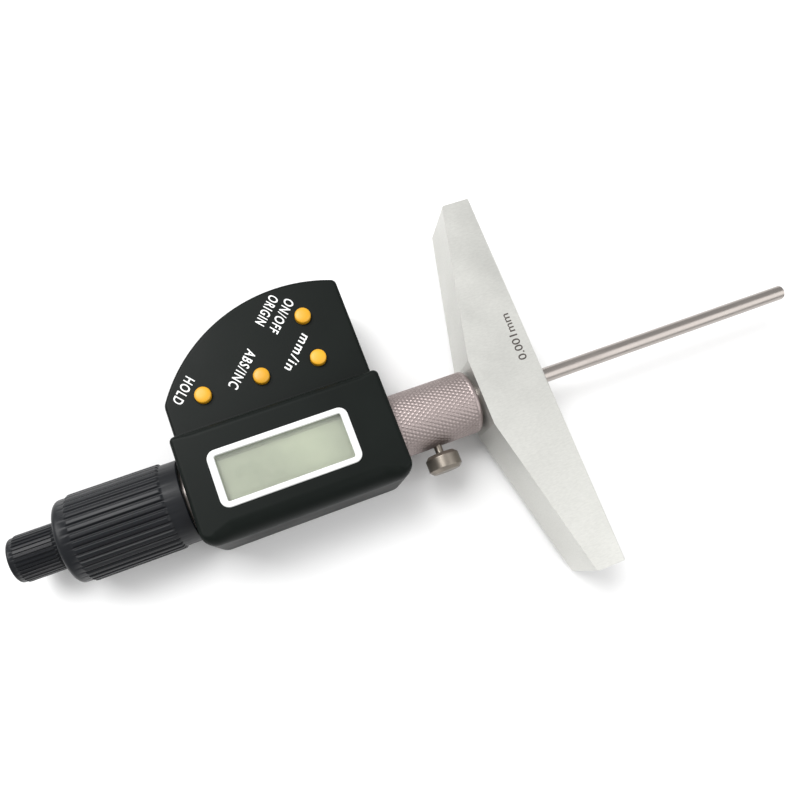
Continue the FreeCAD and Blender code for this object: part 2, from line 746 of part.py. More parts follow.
def make_clamp_and_ratchet():
    screw_bore = "screw_shank_radius + fit"
    thread = "thread_radius + fit"
    cap = turned("rod_clamp_cap", [
        ("clamp_front", thread),
        ("clamp_front", "clamp_radius"),
        ("clamp_rear", "clamp_radius"),
        ("clamp_rear", screw_bore),
        ("rod_rear", screw_bore),
        ("rod_rear", thread),
    ])
    loose_bore = "screw_shank_radius + screw_hole_clearance"
    drive = turned("drive_disc", ring_profile("clamp_rear", "clamp_rear - disc_thickness", screw_bore,
                                              "clamp_radius"))
    driven_ring = ring_profile("driven_front", "driven_rear", loose_bore, "knob_bore - fit")
    driven = turned("driven_disc", driven_ring)
    washer = turned("spring_washer", [
        ("driven_rear", "clamp_radius - washer_thickness"),
        ("driven_rear - washer_thickness", "clamp_radius - washer_thickness"),
        ("knob_inside", "screw_shank_radius + washer_thickness"),
        ("knob_inside + washer_thickness", "screw_shank_radius + washer_thickness"),
    ])
    recess_radius = "screw_head_radius + 2 * screw_hole_clearance"
    knob = turned("ratchet_knob", [
        ("knob_front", "knob_bore"),
        ("knob_front", "knob_radius"),
        ("knob_rear + knob_chamfer", "knob_radius"),
        ("knob_rear", "knob_radius - knob_chamfer"),
        ("knob_rear", recess_radius),
        ("knob_rear + knob_recess", recess_radius),
        ("knob_rear + knob_recess", loose_bore),
        ("knob_inside", loose_bore),
        ("knob_inside", "knob_bore"),
    ])
    add_ribs(knob, "knob_front - knob_band", "knob_length - 2 * knob_band - knob_chamfer", "knob_radius",
             "knob_rib_height", "knob_rib_width", "knob_ribs")
    seat = "knob_rear + knob_recess - disc_gap"
    screw = turned("ratchet_screw", [
        ("rod_rear - screw_hole_clearance", "0"),
        ("rod_rear - screw_hole_clearance", "screw_shank_radius"),
        (seat, "screw_shank_radius"),
        (seat, "screw_head_radius"),
        ("knob_rear + screw_hole_clearance", "screw_head_radius"),
        ("knob_rear + screw_hole_clearance", "0"),
    ])
    slot = new_sketch(screw, "YZ_Plane", "knob_rear")
    draw_rectangle(slot, "-screw_head_radius", "screw_head_radius", "-screw_hole_clearance * 3",
                   "screw_hole_clearance * 3")
    cut_feature(screw, slot, "knob_recess / 2", backwards=True)
    return cap, drive, driven, washer, knob, screw


def flat_edge(floor, low, high, long_side):
    """A test for level edges at height `floor`, between y `low` and `high`, that run along X or Y."""
    height, start, end = value(floor), value(low), value(high)

    def test(edge):
        box = edge.BoundBox
        level = abs(box.ZMin - height) < 1e-3 and abs(box.ZMax - height) < 1e-3
        across = box.YLength if long_side == "x" else box.XLength
        return level and across < 1e-3 and start - 1e-3 < edge.CenterOfMass.y < end + 1e-3

    return test


def upright_edge(across, up, reach="5 * fit"):
    """A test for upright edges close to one corner of the outline."""
    x, y, near = value(across), value(up), value(reach)

    def test(edge):
        box = edge.BoundBox
        straight = box.XLength < 1e-3 and box.YLength < 1e-3
        return straight and abs(box.XMin - x) < near and abs(box.YMin - y) < near

    return test


def cut_low_corners(body, floor, height):
    sketch = new_sketch(body, "XY_Plane", floor)
    draw_corner(sketch, "housing_left", "-housing_low", 1, 1, "corner_round")
    draw_corner(sketch, "housing_right", "-housing_low", -1, 1, "corner_round")
    cut_feature(body, sketch, height, backwards=True)


def round_fin_corners(body):
    for side, radius in (("fin_left", "fin_left_corner"), ("fin_right", "fin_right_corner")):
        run = value(side) - value("fin_centre")
        top = value("fin_centre_up") + (value("fin_radius") ** 2 - run ** 2) ** 0.5
        dress_edges(body, "Fillet", radius, upright_edge(side, str(top)))


def make_housing_outside(shell):
    """The moulding before it is hollowed: a deep body, rounded most at its low side, and the flat fin."""
    side = new_sketch(shell, "YZ_Plane", "housing_left")
    draw_rectangle(side, "-housing_low", "housing_high", "body_floor", "housing_front")
    add_feature(shell, "Pad", side, "housing_length")
    low_edge = flat_edge("housing_front", "-housing_low", "-housing_low", "x")
    dress_edges(shell, "Fillet", "low_round", low_edge)
    side_edge = flat_edge("housing_front", "-housing_low", "housing_high", "y")
    dress_edges(shell, "Fillet", "side_round", side_edge)
    cut_low_corners(shell, "body_floor", "housing_front - body_floor")
    step = new_sketch(shell, "YZ_Plane", "housing_left")
    draw_corner(step, "housing_high", "housing_front", -1, -1, "step_round")
    cut_feature(shell, step, "housing_length", backwards=True)
    fin = new_sketch(shell, "XY_Plane", "fin_floor")
    draw_fin(fin, "0", "0")
    add_feature(shell, "Pad", fin, "fin_front - fin_floor")
    round_fin_corners(shell)
    top, clear = value("fin_front"), value("housing_high + step_fillet")

    def fin_rim(edge):
        box = edge.BoundBox
        return abs(box.ZMin - top) < 1e-3 and abs(box.ZMax - top) < 1e-3 and edge.CenterOfMass.y > clear

    dress_edges(shell, "Fillet", "fin_edge", fin_rim)
    foot_fillet = new_sketch(shell, "YZ_Plane", "fin_left + fin_edge")
    draw_corner(foot_fillet, "housing_high", "fin_front", 1, 1, "step_fillet")
    add_feature(shell, "Pad", foot_fillet, "fin_right - fin_left - 2 * fin_edge")


def make_front_shell():
    shell = new_body("front_shell")
    make_housing_outside(shell)
    cavity = new_sketch(shell, "XY_Plane", "body_floor")
    draw_rectangle(cavity, "housing_left + housing_wall", "housing_right - housing_wall",
                   "-housing_low + housing_wall", "housing_high - housing_wall")
    cut_feature(shell, cavity, "body_roof - body_floor", backwards=True)
    fin_cavity = new_sketch(shell, "XY_Plane", "fin_floor")
    draw_fin(fin_cavity, "housing_high", "fin_wall")
    cut_feature(shell, fin_cavity, "fin_roof - fin_floor", backwards=True)
    posts = new_sketch(shell, "XY_Plane", "fin_floor")
    for x, y in POST_PLACES:
        draw_circle(posts, x, y, "post_radius")
    add_feature(shell, "Pad", posts, "fin_roof - fin_floor")
    post_holes = new_sketch(shell, "XY_Plane", "fin_floor")
    for x, y in POST_PLACES:
        draw_circle(post_holes, x, y, "cover_screw_radius + running_clearance")
    cut_feature(shell, post_holes, "cover_screw_reach", backwards=True)
    display = new_sketch(shell, "XY_Plane", "body_roof")
    draw_rectangle(display, "display_x - display_length / 2", "display_x + display_length / 2",
                   "-display_width / 2", "display_width / 2")
    cut_feature(shell, display, "housing_wall", backwards=True)
    round_bezel_corners(shell, "bezel_corner", "body_roof")
    keys = new_sketch(shell, "XY_Plane", "fin_front")
    for x, y in KEY_PLACES.values():
        draw_circle(keys, x, y, "key_radius + key_hole_clearance")
    cut_feature(shell, keys, "fin_wall")
    front_hole = new_sketch(shell, "YZ_Plane", "housing_right")
    draw_circle(front_hole, "0", "0", "stem_radius + fit")
    cut_feature(shell, front_hole, "housing_wall")
    rear_hole = new_sketch(shell, "YZ_Plane", "housing_left")
    draw_circle(rear_hole, "0", "0", "barrel_radius + fit")
    cut_feature(shell, rear_hole, "housing_wall", backwards=True)
    link_slot = new_sketch(shell, "XY_Plane", "switch_floor - running_clearance")
    draw_rectangle(link_slot, "display_x - display_width / 2", "display_x + display_width / 2",
                   "housing_high - housing_wall", "housing_high")
    cut_feature(shell, link_slot, "link_thickness + 2 * running_clearance", backwards=True)
    return shell


def round_bezel_corners(body, amount, floor):
    """Round the four upright corners of the display's opening or of its bezel."""
    half_length, half_width = value("display_length / 2"), value("display_width / 2")
    centre, bottom = value("display_x"), value(floor)

    def corner(edge):
        box = edge.BoundBox
        return box.XLength + box.YLength < 1e-3 and abs(abs(box.XMin - centre) - half_length) < 0.1 and \
            abs(abs(box.YMin) - half_width) < 0.1 and abs(box.ZMin - bottom) < 1e-3

    dress_edges(body, "Fillet", amount, corner)


def make_covers():
    rear = slab("rear_cover", "housing_left", "housing_right", "-housing_low", "housing_high",
                "-housing_back", "body_floor")
    cut_low_corners(rear, "-housing_back", "cover_depth")
    dress_edges(rear, "Fillet", "back_round", edge_at(z="-housing_back"))
    sink_screws(rear, list(cover_screw_places()), "-housing_back", "cover_depth")
    fin = new_body("fin_cover")
    outline = new_sketch(fin, "XY_Plane", "-fin_back")
    draw_fin(outline, "housing_high + fit", "0")
    add_feature(fin, "Pad", outline, "fin_plate")
    round_fin_corners(fin)
    mouth = new_sketch(fin, "XY_Plane", "-fin_back")
    draw_circle(mouth, "battery_x", "battery_up", "cap_plug_radius + screw_hole_clearance")
    cut_feature(fin, mouth, "fin_plate", backwards=True)
    seat = new_sketch(fin, "XY_Plane", "-fin_back")
    draw_circle(seat, "battery_x", "battery_up", "cap_radius + screw_hole_clearance")
    cut_feature(fin, seat, "cap_flange", backwards=True)
    sink_screws(fin, POST_PLACES, "-fin_back", "fin_plate")
    return rear, fin


def sink_screws(cover, places, back, depth):
    shanks = new_sketch(cover, "XY_Plane", back)
    heads = new_sketch(cover, "XY_Plane", back)
    for x, y in places:
        draw_circle(shanks, x, y, "cover_screw_radius + running_clearance")
        draw_circle(heads, x, y, "cover_screw_head_radius + running_clearance")
    cut_feature(cover, shanks, depth, backwards=True)
    cut_feature(cover, heads, "cover_screw_sunk + cover_screw_head", backwards=True)


def make_cover_screws():
    screws = []
    places = [(x, y, "-housing_back", "body_floor") for x, y in cover_screw_places()]
    places += [(x, y, "-fin_back", "fin_floor") for x, y in POST_PLACES]
    for i, (x, y, back, seat) in enumerate(places):
        head = f"{back} + cover_screw_sunk"
        reach = f"{seat} + cover_screw_reach - screw_hole_clearance"
        screws.append(turned(f"cover_screw_{i}", [
            (head, "0"),
            (head, "cover_screw_head_radius"),
            (f"{head} + cover_screw_head", "cover_screw_head_radius"),
            (f"{head} + cover_screw_head", "cover_screw_radius"),
            (reach, "cover_screw_radius"),
            (reach, "0"),
        ], "z", (x, y, "0")))
    return group("cover_screws", screws)


def make_display():
    half_length, half_width = "display_length / 2 - fit", "display_width / 2 - fit"
    bezel = slab("display_bezel", f"display_x - ({half_length})", f"display_x + {half_length}",
                 f"-({half_width})", half_width, "body_roof", "bezel_top")
    round_bezel_corners(bezel, "bezel_corner", "body_roof")
    glass_x = "display_length / 2 - bezel_side"
    glass_y = "display_width / 2 - bezel_rail"
    sight = new_sketch(bezel, "XY_Plane", "body_roof")
    draw_rectangle(sight, f"display_x - ({glass_x})", f"display_x + {glass_x}", f"-({glass_y})", glass_y)
    cut_feature(bezel, sight, "bezel_top - body_roof", backwards=True)
    lap_x, lap_y = glass_x + " + window_lap", glass_y + " + window_lap"
    rebate = new_sketch(bezel, "XY_Plane", "body_roof")
    draw_rectangle(rebate, f"display_x - ({lap_x})", f"display_x + {lap_x}", f"-({lap_y})", lap_y)
    cut_feature(bezel, rebate, "window_thickness", backwards=True)
    window = slab("display_window", f"display_x - ({lap_x} - fit)", f"display_x + {lap_x} - fit",
                  f"-({lap_y} - fit)", lap_y + " - fit", "body_roof", "window_top")
    panel_x, panel_y = "display_length / 2 - window_lap", "display_width / 2 - window_lap"
    panel = slab("display_panel", f"display_x - ({panel_x})", f"display_x + {panel_x}",
                 f"-({panel_y})", panel_y, "panel_floor", "body_roof")
    strips = []
    for i, side in enumerate((-1, 1)):
        low = f"{side} * ({panel_y} - strip_width / 2) - strip_width / 2"
        strips.append(slab(f"contact_strip_{i}", f"display_x - ({panel_x} - 1)", f"display_x + {panel_x} - 1",
                           low, low + " + strip_width", "board_top", "panel_floor"))
    return bezel, window, panel, group("contact_strips", strips)


def make_boards():
    slab("main_board", "block_left", "block_right", "-housing_low + housing_wall + board_margin",
         "housing_high - housing_wall - board_margin", "block_top", "board_top")
    make_board_link()
    draw_key_sheet("key_board", "key_board_floor", "key_board_thickness")
    mat = draw_key_sheet("key_mat", "mat_floor", "mat_thickness")
    holes = new_sketch(mat, "XY_Plane", "mat_floor")
    for x, y in KEY_PLACES.values():
        draw_circle(holes, x, y, "key_radius + key_hole_clearance")
    cut_feature(mat, holes, "mat_thickness", backwards=True)
    switches = []
    for name, (x, y) in KEY_PLACES.items():
        switches.append(turned(name + "_switch", [("0", "0"), ("0", "switch_radius"),
                                                  ("switch_height", "switch_radius"), ("switch_height", "0")],
                               "z", (x, y, "switch_floor")))
    return group("key_switches", switches)


def make_board_link():
    """A bent strip from under the main board's edge, through the shell's slot, to the key board."""
    link = new_body("board_link")
    sketch = new_sketch(link, "YZ_Plane", "display_x - display_width / 2 + running_clearance")
    near, far = "block_half_width + board_margin", "key_row_up - key_board_margin + board_margin"
    top = "switch_floor + link_thickness"
    draw_polygon(sketch, [
        (near, "switch_floor"),
        (far, "switch_floor"),
        (far, top),
        (near + " + link_thickness", top),
        (near + " + link_thickness", "block_top"),
        (near, "block_top"),
    ])
    add_feature(link, "Pad", sketch, "display_width - 2 * running_clearance")


def draw_key_sheet(name, floor, thickness):
    """A flat sheet under the four keys, cut off along the fin's arc."""
    body = new_body(name)
    sketch = new_sketch(body, "XY_Plane", floor)
    left, right = "key_column - 2 * key_pitch - key_board_margin", "key_column + key_board_margin"
    low, high = "key_row_up - key_board_margin", "key_top_up + key_board_margin - board_margin * 2"
    shoulder = "key_column - key_pitch + board_margin"
    left_top = "key_row_up + key_board_margin / 2"
    draw_polygon(sketch, [(left, low), (right, low), (right, high), (shoulder, high), (left, left_top)])
    add_feature(body, "Pad", sketch, thickness)
    return body


def make_keys():
    for name, (x, y) in KEY_PLACES.items():
        top = "fin_front + key_height"
        turned(name, [
            ("flange_floor", "0"),
            ("flange_floor", "key_flange_radius"),
            ("mat_floor", "key_flange_radius"),
            ("mat_floor", "key_radius"),
            (f"{top} - key_dome", "key_radius"),
            (f"{top} - key_dome / 3", "0.72 * key_radius"),
            (top, "0.3 * key_radius"),
            (top, "0"),
        ], "z", (x, y, "0"))


def make_battery():
    place = ("battery_x", "battery_up", "0")
    battery = turned("battery", [("battery_floor", "0"), ("battery_floor", "battery_radius"),
                                 ("battery_top", "battery_radius"), ("battery_top", "0")], "z", place)
    slab("battery_contact", "battery_x - cap_slot_length * 0.1", "battery_x + cap_slot_length * 0.4",
         "battery_up - battery_radius + 1", "battery_up - 1", "battery_top", "key_board_floor")
    seat = "-fin_back + cap_flange"
    cap = turned("battery_cap", [
        ("-fin_back", "0"),
        ("-fin_back", "cap_radius"),
        (seat, "cap_radius"),
        (seat, "cap_plug_radius"),
        ("battery_floor", "cap_plug_radius"),
        ("battery_floor", "0"),
    ], "z", place)
    slot = new_sketch(cap, "XY_Plane", "-fin_back")
    draw_rectangle(slot, "-cap_slot_length / 2", "cap_slot_length / 2",
                   "-cap_slot_width / 2", "cap_slot_width / 2")
    cut_feature(cap, slot, "cap_slot_depth", backwards=True)
    return battery, cap


make_base()
make_stem_and_sleeve()
make_lock()
make_frame_block()
make_barrel_and_nuts()
make_encoder()
make_spindle()
make_rod()
make_thimble()
make_clamp_and_ratchet()
make_front_shell()
make_covers()
make_cover_screws()
make_display()
make_boards()
make_keys()
make_battery()
doc.recompute()

grouped = [piece for thing in doc.Objects if thing.TypeId == "Part::Compound" for piece in thing.Links]
nodes = [thing for thing in doc.Objects
         if thing.TypeId in ("PartDesign::Body", "Part::Compound") and thing not in grouped]
for thing in doc.Objects:
    if {"Invalid", "Error"} & set(thing.State):
        raise RuntimeError(f"{thing.Label} failed: {thing.State}")
for node in nodes:
    if node.Shape.isNull() or not node.Shape.isValid():
        raise RuntimeError(f"{node.Label} has no valid shape")

os.makedirs("parts", exist_ok=True)
for node in nodes:
    node.Shape.exportStep(f"parts/{node.Label}.step")
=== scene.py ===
import json
import math

import bmesh
import bpy
from mathutils import Matrix, Vector

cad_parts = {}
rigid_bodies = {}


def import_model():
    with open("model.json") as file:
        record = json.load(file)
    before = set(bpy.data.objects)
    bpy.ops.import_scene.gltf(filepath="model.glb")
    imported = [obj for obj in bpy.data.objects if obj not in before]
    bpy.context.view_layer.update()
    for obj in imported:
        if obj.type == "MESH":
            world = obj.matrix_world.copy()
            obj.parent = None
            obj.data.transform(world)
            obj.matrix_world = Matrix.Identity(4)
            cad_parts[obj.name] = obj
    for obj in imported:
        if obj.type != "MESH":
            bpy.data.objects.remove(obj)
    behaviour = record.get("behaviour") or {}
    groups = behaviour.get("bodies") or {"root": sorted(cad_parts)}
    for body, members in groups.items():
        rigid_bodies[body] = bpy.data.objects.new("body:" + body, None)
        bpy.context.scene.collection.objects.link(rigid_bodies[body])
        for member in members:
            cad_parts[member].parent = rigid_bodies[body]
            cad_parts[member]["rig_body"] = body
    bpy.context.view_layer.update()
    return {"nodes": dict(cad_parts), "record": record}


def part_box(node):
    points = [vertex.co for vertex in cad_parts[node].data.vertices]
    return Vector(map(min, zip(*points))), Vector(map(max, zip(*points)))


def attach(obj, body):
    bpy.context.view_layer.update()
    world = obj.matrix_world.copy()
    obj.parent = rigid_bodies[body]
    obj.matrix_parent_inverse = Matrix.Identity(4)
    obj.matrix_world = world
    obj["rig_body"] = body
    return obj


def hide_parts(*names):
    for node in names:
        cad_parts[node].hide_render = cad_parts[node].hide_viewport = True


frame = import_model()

bl_info = {
    "name": "Depth micrometer",
    "version": (1, 0, 0),
    "blender": (4, 5, 0),
    "location": "View3D > Sidebar > Micrometer",
    "description": "Moulded, knurled and printed surfaces of a digital depth micrometer, piece by piece",
    "category": "Object",
}

MM = 0.001


# ---------------------------------------------------------------- sizes and colours

def length(name, description, default):
    """A size in millimetres, kept as a plain number so that it reads as on a drawing."""
    return bpy.props.FloatProperty(name=name, description=description, default=default, unit="NONE")


def colour(name, description, default):
    return bpy.props.FloatVectorProperty(name=name, description=description, default=default,
                                         subtype="COLOR", size=3, min=0, max=1)


class MicrometerHousingSizes(bpy.types.PropertyGroup):
    """The moulded housing, in millimetres in the instrument's own frame."""

    right: length("Front end", "Where the housing meets the grip sleeve", -40.9)
    left: length("Rear end", "Where the housing meets the thimble", -92.4)
    low: length("Low side", "Side of the lock screw", -14.0)
    high: length("High side", "Foot of the key fin", 13.2)
    front: length("Front face", "Height of the display face", 12.6)
    floor: length("Parting line", "Height of the joint with the rear cover", -8.2)
    wall: length("Wall", "Thickness of the moulding", 1.8)
    low_round: length("Low rounding", "Radius along the low side of the front face", 4.6)
    corner_round: length("Corner rounding", "Radius of the two low corners", 3.6)
    side_round: length("Side rounding", "Radius along the two ends of the front face", 1.1)
    step_round: length("Step rounding", "Radius of the step's upper edge", 1.8)
    foot_round: length("Foot rounding", "Hollow radius at the foot of the step", 1.2)
    fin_front: length("Fin face", "Height of the key face", 8.0)
    fin_floor: length("Fin parting line", "Height of the joint with the fin's cover", -2.7)
    fin_inset: length("Fin inset", "How far the fin stands in from the housing's ends", 0.8)
    fin_radius: length("Fin arc", "Radius of the fin's outer edge", 41.1)
    fin_centre_x: length("Arc centre along", "Centre of the arc along the axis", -56.0)
    fin_centre_y: length("Arc centre across", "Centre of the arc across the axis", 1.6)
    fin_edge: length("Fin edge", "Radius round the fin's face", 0.9)
    fin_wall: length("Fin wall", "Thickness of the fin's moulding", 1.6)
    fin_right_corner: length("Fin front corner", "Radius of the fin's corner beside the sleeve", 1.6)
    fin_left_corner: length("Fin rear corner", "Radius of the fin's corner beside the thimble", 3.0)
    front_hole: length("Front hole", "Radius of the stem tube's hole", 5.02)
    rear_hole: length("Rear hole", "Radius of the barrel's hole", 7.52)
    display_x: length("Display centre", "Place of the display along the axis", -68.55)
    display_length: length("Display length", "Outside length of the display frame", 34.3)
    display_width: length("Display width", "Outside width of the display frame", 14.0)
    display_corner: length("Display corner", "Corner radius of the display frame", 2.2)
    display_proud: length("Display height", "How far the frame stands above the housing", 0.3)
    display_side: length("Display sides", "Width of the frame's two ends", 1.75)
    display_rail: length("Display rails", "Width of the frame's two long rails", 1.45)
    window_lap: length("Window lap", "How far the window reaches under the frame", 0.5)
    window_thickness: length("Window thickness", "Thickness of the window", 1.2)
    key_radius: length("Key radius", "Radius of the four keys", 2.0)
    key_gap: length("Key gap", "Gap between a key and its hole", 0.15)
    key_height: length("Key height", "Height of a key above the fin", 1.5)
    key_dome: length("Key dome", "Rise of a key's rounded top", 0.55)


class MicrometerGripSizes(bpy.types.PropertyGroup):
    """Knurl, ribs and turned pieces, in millimetres along and round the instrument's axis."""

    sleeve_front: length("Sleeve front", "Front end of the grip sleeve", -18.4)
    sleeve_rear: length("Sleeve rear", "Rear end of the grip sleeve", -40.9)
    sleeve_radius: length("Sleeve radius", "Outside radius over the knurl", 8.3)
    sleeve_bore: length("Sleeve bore", "Radius of the hole for the stem tube", 5.02)
    sleeve_round: length("Sleeve rounding", "Rounding of the sleeve's front edge", 1.1)
    knurl_pitch: length("Knurl pitch", "Spacing of the sleeve's diamonds round the sleeve", 1.1)
    knurl_depth: length("Knurl depth", "Depth of the sleeve's grooves", 0.2)
    lock_x: length("Lock screw", "Place of the lock screw along the axis", -31.1)
    lock_bore: length("Lock hole", "Radius of the lock screw's hole in the sleeve", 1.29)
    lock_head_radius: length("Lock head", "Radius of the lock screw's head", 4.35)
    lock_head_near: length("Lock head floor", "Distance of the head from the axis", 10.3)
    lock_head_far: length("Lock head top", "Distance of the head's end from the axis", 15.05)
    lock_tip: length("Lock tip", "Distance of the screw's inner end from the axis", 5.575)
    lock_bevel: length("Lock bevel", "Bevel of both edges of the head", 0.9)
    thimble_front: length("Thimble front", "Front end of the thimble", -93.4)
    thimble_length: length("Thimble length", "Length of the thimble", 29.4)
    thimble_radius: length("Thimble radius", "Radius between the thimble's ribs", 10.3)
    thimble_round: length("Thimble rounding", "Rounding of the thimble's rear edge", 1.2)
    thimble_ribs: bpy.props.IntProperty(name="Thimble ribs", description="Ribs round the thimble", default=38)
    thimble_rib: length("Thimble rib", "Height of the thimble's ribs", 0.5)
    knob_front: length("Knob front", "Front end of the ratchet knob", -123.6)
    knob_length: length("Knob length", "Length of the ratchet knob", 11.6)
    knob_radius: length("Knob radius", "Radius between the knob's ribs", 5.45)
    knob_round: length("Knob rounding", "Rounding of the knob's rear edge", 0.5)
    knob_ribs: bpy.props.IntProperty(name="Knob ribs", description="Ribs round the ratchet knob", default=36)
    knob_rib: length("Knob rib", "Height of the knob's ribs", 0.3)
    rod_tip: length("Rod tip", "Reach of the measuring rod past the base", 78.5)
    rod_radius: length("Rod radius", "Radius of the measuring rod", 2.0)


class MicrometerColours(bpy.types.PropertyGroup):
    """Base colours of the finishes."""

    chrome: colour("Satin chrome", "Base bar", (0.60, 0.60, 0.57))
    sleeve: colour("Knurled steel", "Grip sleeve", (0.36, 0.305, 0.295))
    steel: colour("Ground steel", "Rod, spindle and barrel", (0.41, 0.375, 0.35))
    screw: colour("Screw steel", "Lock screw and cover screws", (0.27, 0.24, 0.205))
    casting: colour("Cast frame", "Frame block", (0.52, 0.53, 0.54))
    brass: colour("Brass", "Bushes and nuts", (0.68, 0.50, 0.24))
    shell: colour("Black moulding", "Housing and covers", (0.0045, 0.0065, 0.0055))
    grip: colour("Black grip", "Thimble and ratchet knob", (0.008, 0.009, 0.011))
    frame_white: colour("White moulding", "Display frame", (0.80, 0.81, 0.80))
    key: colour("Yellow key", "Keys", (0.66, 0.33, 0.012))
    glass: colour("Display glass", "Liquid crystal display", (0.52, 0.57, 0.42))
    board: colour("Circuit board", "Boards", (0.02, 0.11, 0.04))
    rubber: colour("Grey rubber", "Key sheet and contact strips", (0.06, 0.06, 0.065))
    copper: colour("Copper pattern", "Encoder discs and link", (0.42, 0.20, 0.07))
    ink: colour("White print", "Lettering beside the keys", (0.86, 0.87, 0.86))
    engraving: colour("Engraving", "Filled lettering on the base", (0.06, 0.05, 0.045))
    floor: colour("Table", "The surface that the instrument lies on", (0.90, 0.90, 0.90))


# ---------------------------------------------------------------- finishes

def shader_of(name, base, roughness, metallic=0.0, specular=0.5):
    """A new material with its constants on the shader's own sockets."""
    material = bpy.data.materials.new(name)
    material.use_nodes = True
    shader = material.node_tree.nodes["Principled BSDF"]
    shader.inputs["Base Color"].default_value = (*base, 1)
    shader.inputs["Roughness"].default_value = roughness
    shader.inputs["Metallic"].default_value = metallic
    shader.inputs["Specular IOR Level"].default_value = specular
    return material, shader


def object_space(tree, stretch):
    place = tree.nodes.new("ShaderNodeTexCoord")
    mapping = tree.nodes.new("ShaderNodeMapping")
    mapping.inputs["Scale"].default_value = stretch
    tree.links.new(place.outputs["Object"], mapping.inputs["Vector"])
    return mapping.outputs["Vector"]


def noise(tree, stretch, detail=3.0, roughness=0.55):
    node = tree.nodes.new("ShaderNodeTexNoise")
    node.inputs["Scale"].default_value = 1.0
    node.inputs["Detail"].default_value = detail
    node.inputs["Roughness"].default_value = roughness
    tree.links.new(object_space(tree, stretch), node.inputs["Vector"])
    return node.outputs["Fac"]


def spread(tree, factor, low, high):
    """A noise value brought into the range that a socket wants."""
    node = tree.nodes.new("ShaderNodeMapRange")
    node.inputs["From Min"].default_value = 0.25
    node.inputs["From Max"].default_value = 0.75
    node.inputs["To Min"].default_value = low
    node.inputs["To Max"].default_value = high
    tree.links.new(factor, node.inputs["Value"])
    return node.outputs["Result"]


def vary_colour(tree, shader, factor, dark, light):
    ramp = tree.nodes.new("ShaderNodeValToRGB")
    ramp.color_ramp.elements[0].position = 0.3
    ramp.color_ramp.elements[0].color = (*dark, 1)
    ramp.color_ramp.elements[1].position = 0.7
    ramp.color_ramp.elements[1].color = (*light, 1)
    tree.links.new(factor, ramp.inputs["Fac"])
    tree.links.new(ramp.outputs["Color"], shader.inputs["Base Color"])


def relief(tree, shader, factor, depth, strength=1.0):
    bump = tree.nodes.new("ShaderNodeBump")
    bump.inputs["Distance"].default_value = depth
    bump.inputs["Strength"].default_value = strength
    tree.links.new(factor, bump.inputs["Height"])
    tree.links.new(bump.outputs["Normal"], shader.inputs["Normal"])


def shade(base, factor):
    return tuple(min(1.0, part * factor) for part in base)


def worked_metal(name, base, roughness, grain, depth, metallic=1.0):
    """Ground, turned or blasted metal: the grain's three spacings say which way the tool ran."""
    material, shader = shader_of(name, base, roughness, metallic)
    tree = material.node_tree
    lines = noise(tree, grain, 4.0, 0.6)
    cloud = noise(tree, (90, 90, 90), 2.0)
    tree.links.new(spread(tree, cloud, roughness - 0.06, roughness + 0.08), shader.inputs["Roughness"])
    vary_colour(tree, shader, lines, shade(base, 0.93), shade(base, 1.04))
    relief(tree, shader, lines, depth, 0.6)


def moulded_plastic(name, base, roughness, texture, depth, specular):
    """Spark-eroded or smooth moulding with slight shine differences."""
    material, shader = shader_of(name, base, roughness, 0.0, specular)
    tree = material.node_tree
    pits = noise(tree, (texture, texture, texture), 2.0, 0.6)
    cloud = noise(tree, (60, 60, 60), 3.0)
    tree.links.new(spread(tree, cloud, roughness - 0.05, roughness + 0.07), shader.inputs["Roughness"])
    vary_colour(tree, shader, cloud, shade(base, 0.85), shade(base, 1.15))
    relief(tree, shader, pits, depth, 0.5)


def clear_plastic(name):
    """The display's window: thin and clear, with a faint haze."""
    material, shader = shader_of(name, (0.95, 0.97, 0.94), 0.08, 0.0, 0.5)
    shader.inputs["Alpha"].default_value = 0.12
    tree = material.node_tree
    haze = noise(tree, (140, 140, 140), 2.0)
    tree.links.new(spread(tree, haze, 0.06, 0.16), shader.inputs["Roughness"])


def make_finishes(c):
    """Every finish on the instrument, each named after the slot that wears it."""
    fine_turning, cross_grinding = (6000, 700, 700), (9000, 500, 500)
    worked_metal("satin chrome", c.chrome, 0.42, (900, 2600, 2600), 0.000004, 0.75)
    worked_metal("knurled steel", c.sleeve, 0.40, (1800, 1800, 1800), 0.000006, 0.85)
    worked_metal("bright steel", c.steel, 0.30, cross_grinding, 0.000003)
    worked_metal("screw steel", c.screw, 0.38, (2500, 2500, 2500), 0.000005, 0.9)
    worked_metal("cast frame", c.casting, 0.5, (800, 800, 800), 0.00002)
    worked_metal("brass", c.brass, 0.33, fine_turning, 0.000004)
    worked_metal("copper pattern", c.copper, 0.42, (1500, 1500, 1500), 0.000005, 0.8)
    moulded_plastic("black moulding", c.shell, 0.42, 2600, 0.00002, 0.11)
    moulded_plastic("black grip", c.grip, 0.36, 1800, 0.00001, 0.24)
    moulded_plastic("white moulding", c.frame_white, 0.4, 1500, 0.000008, 0.5)
    moulded_plastic("yellow key", c.key, 0.38, 1600, 0.00001, 0.5)
    moulded_plastic("display glass", c.glass, 0.3, 500, 0.000003, 0.4)
    moulded_plastic("circuit board", c.board, 0.42, 900, 0.00001, 0.5)
    moulded_plastic("grey rubber", c.rubber, 0.7, 1500, 0.00002, 0.3)
    moulded_plastic("white print", c.ink, 0.55, 3000, 0.000004, 0.4)
    moulded_plastic("engraving", c.engraving, 0.6, 3000, 0.000004, 0.3)
    clear_plastic("clear window")


# ---------------------------------------------------------------- meshes

def body_of(node):
    return frame["nodes"][node]["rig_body"]


def slot_of(node):
    for part in frame["record"]["subparts"]:
        if part["node"] == node:
            return part["material_slot"]
    raise RuntimeError(f"{node} has no material slot")


def finish_named(slot):
    return bpy.data.materials[slot.replace("_", " ")]


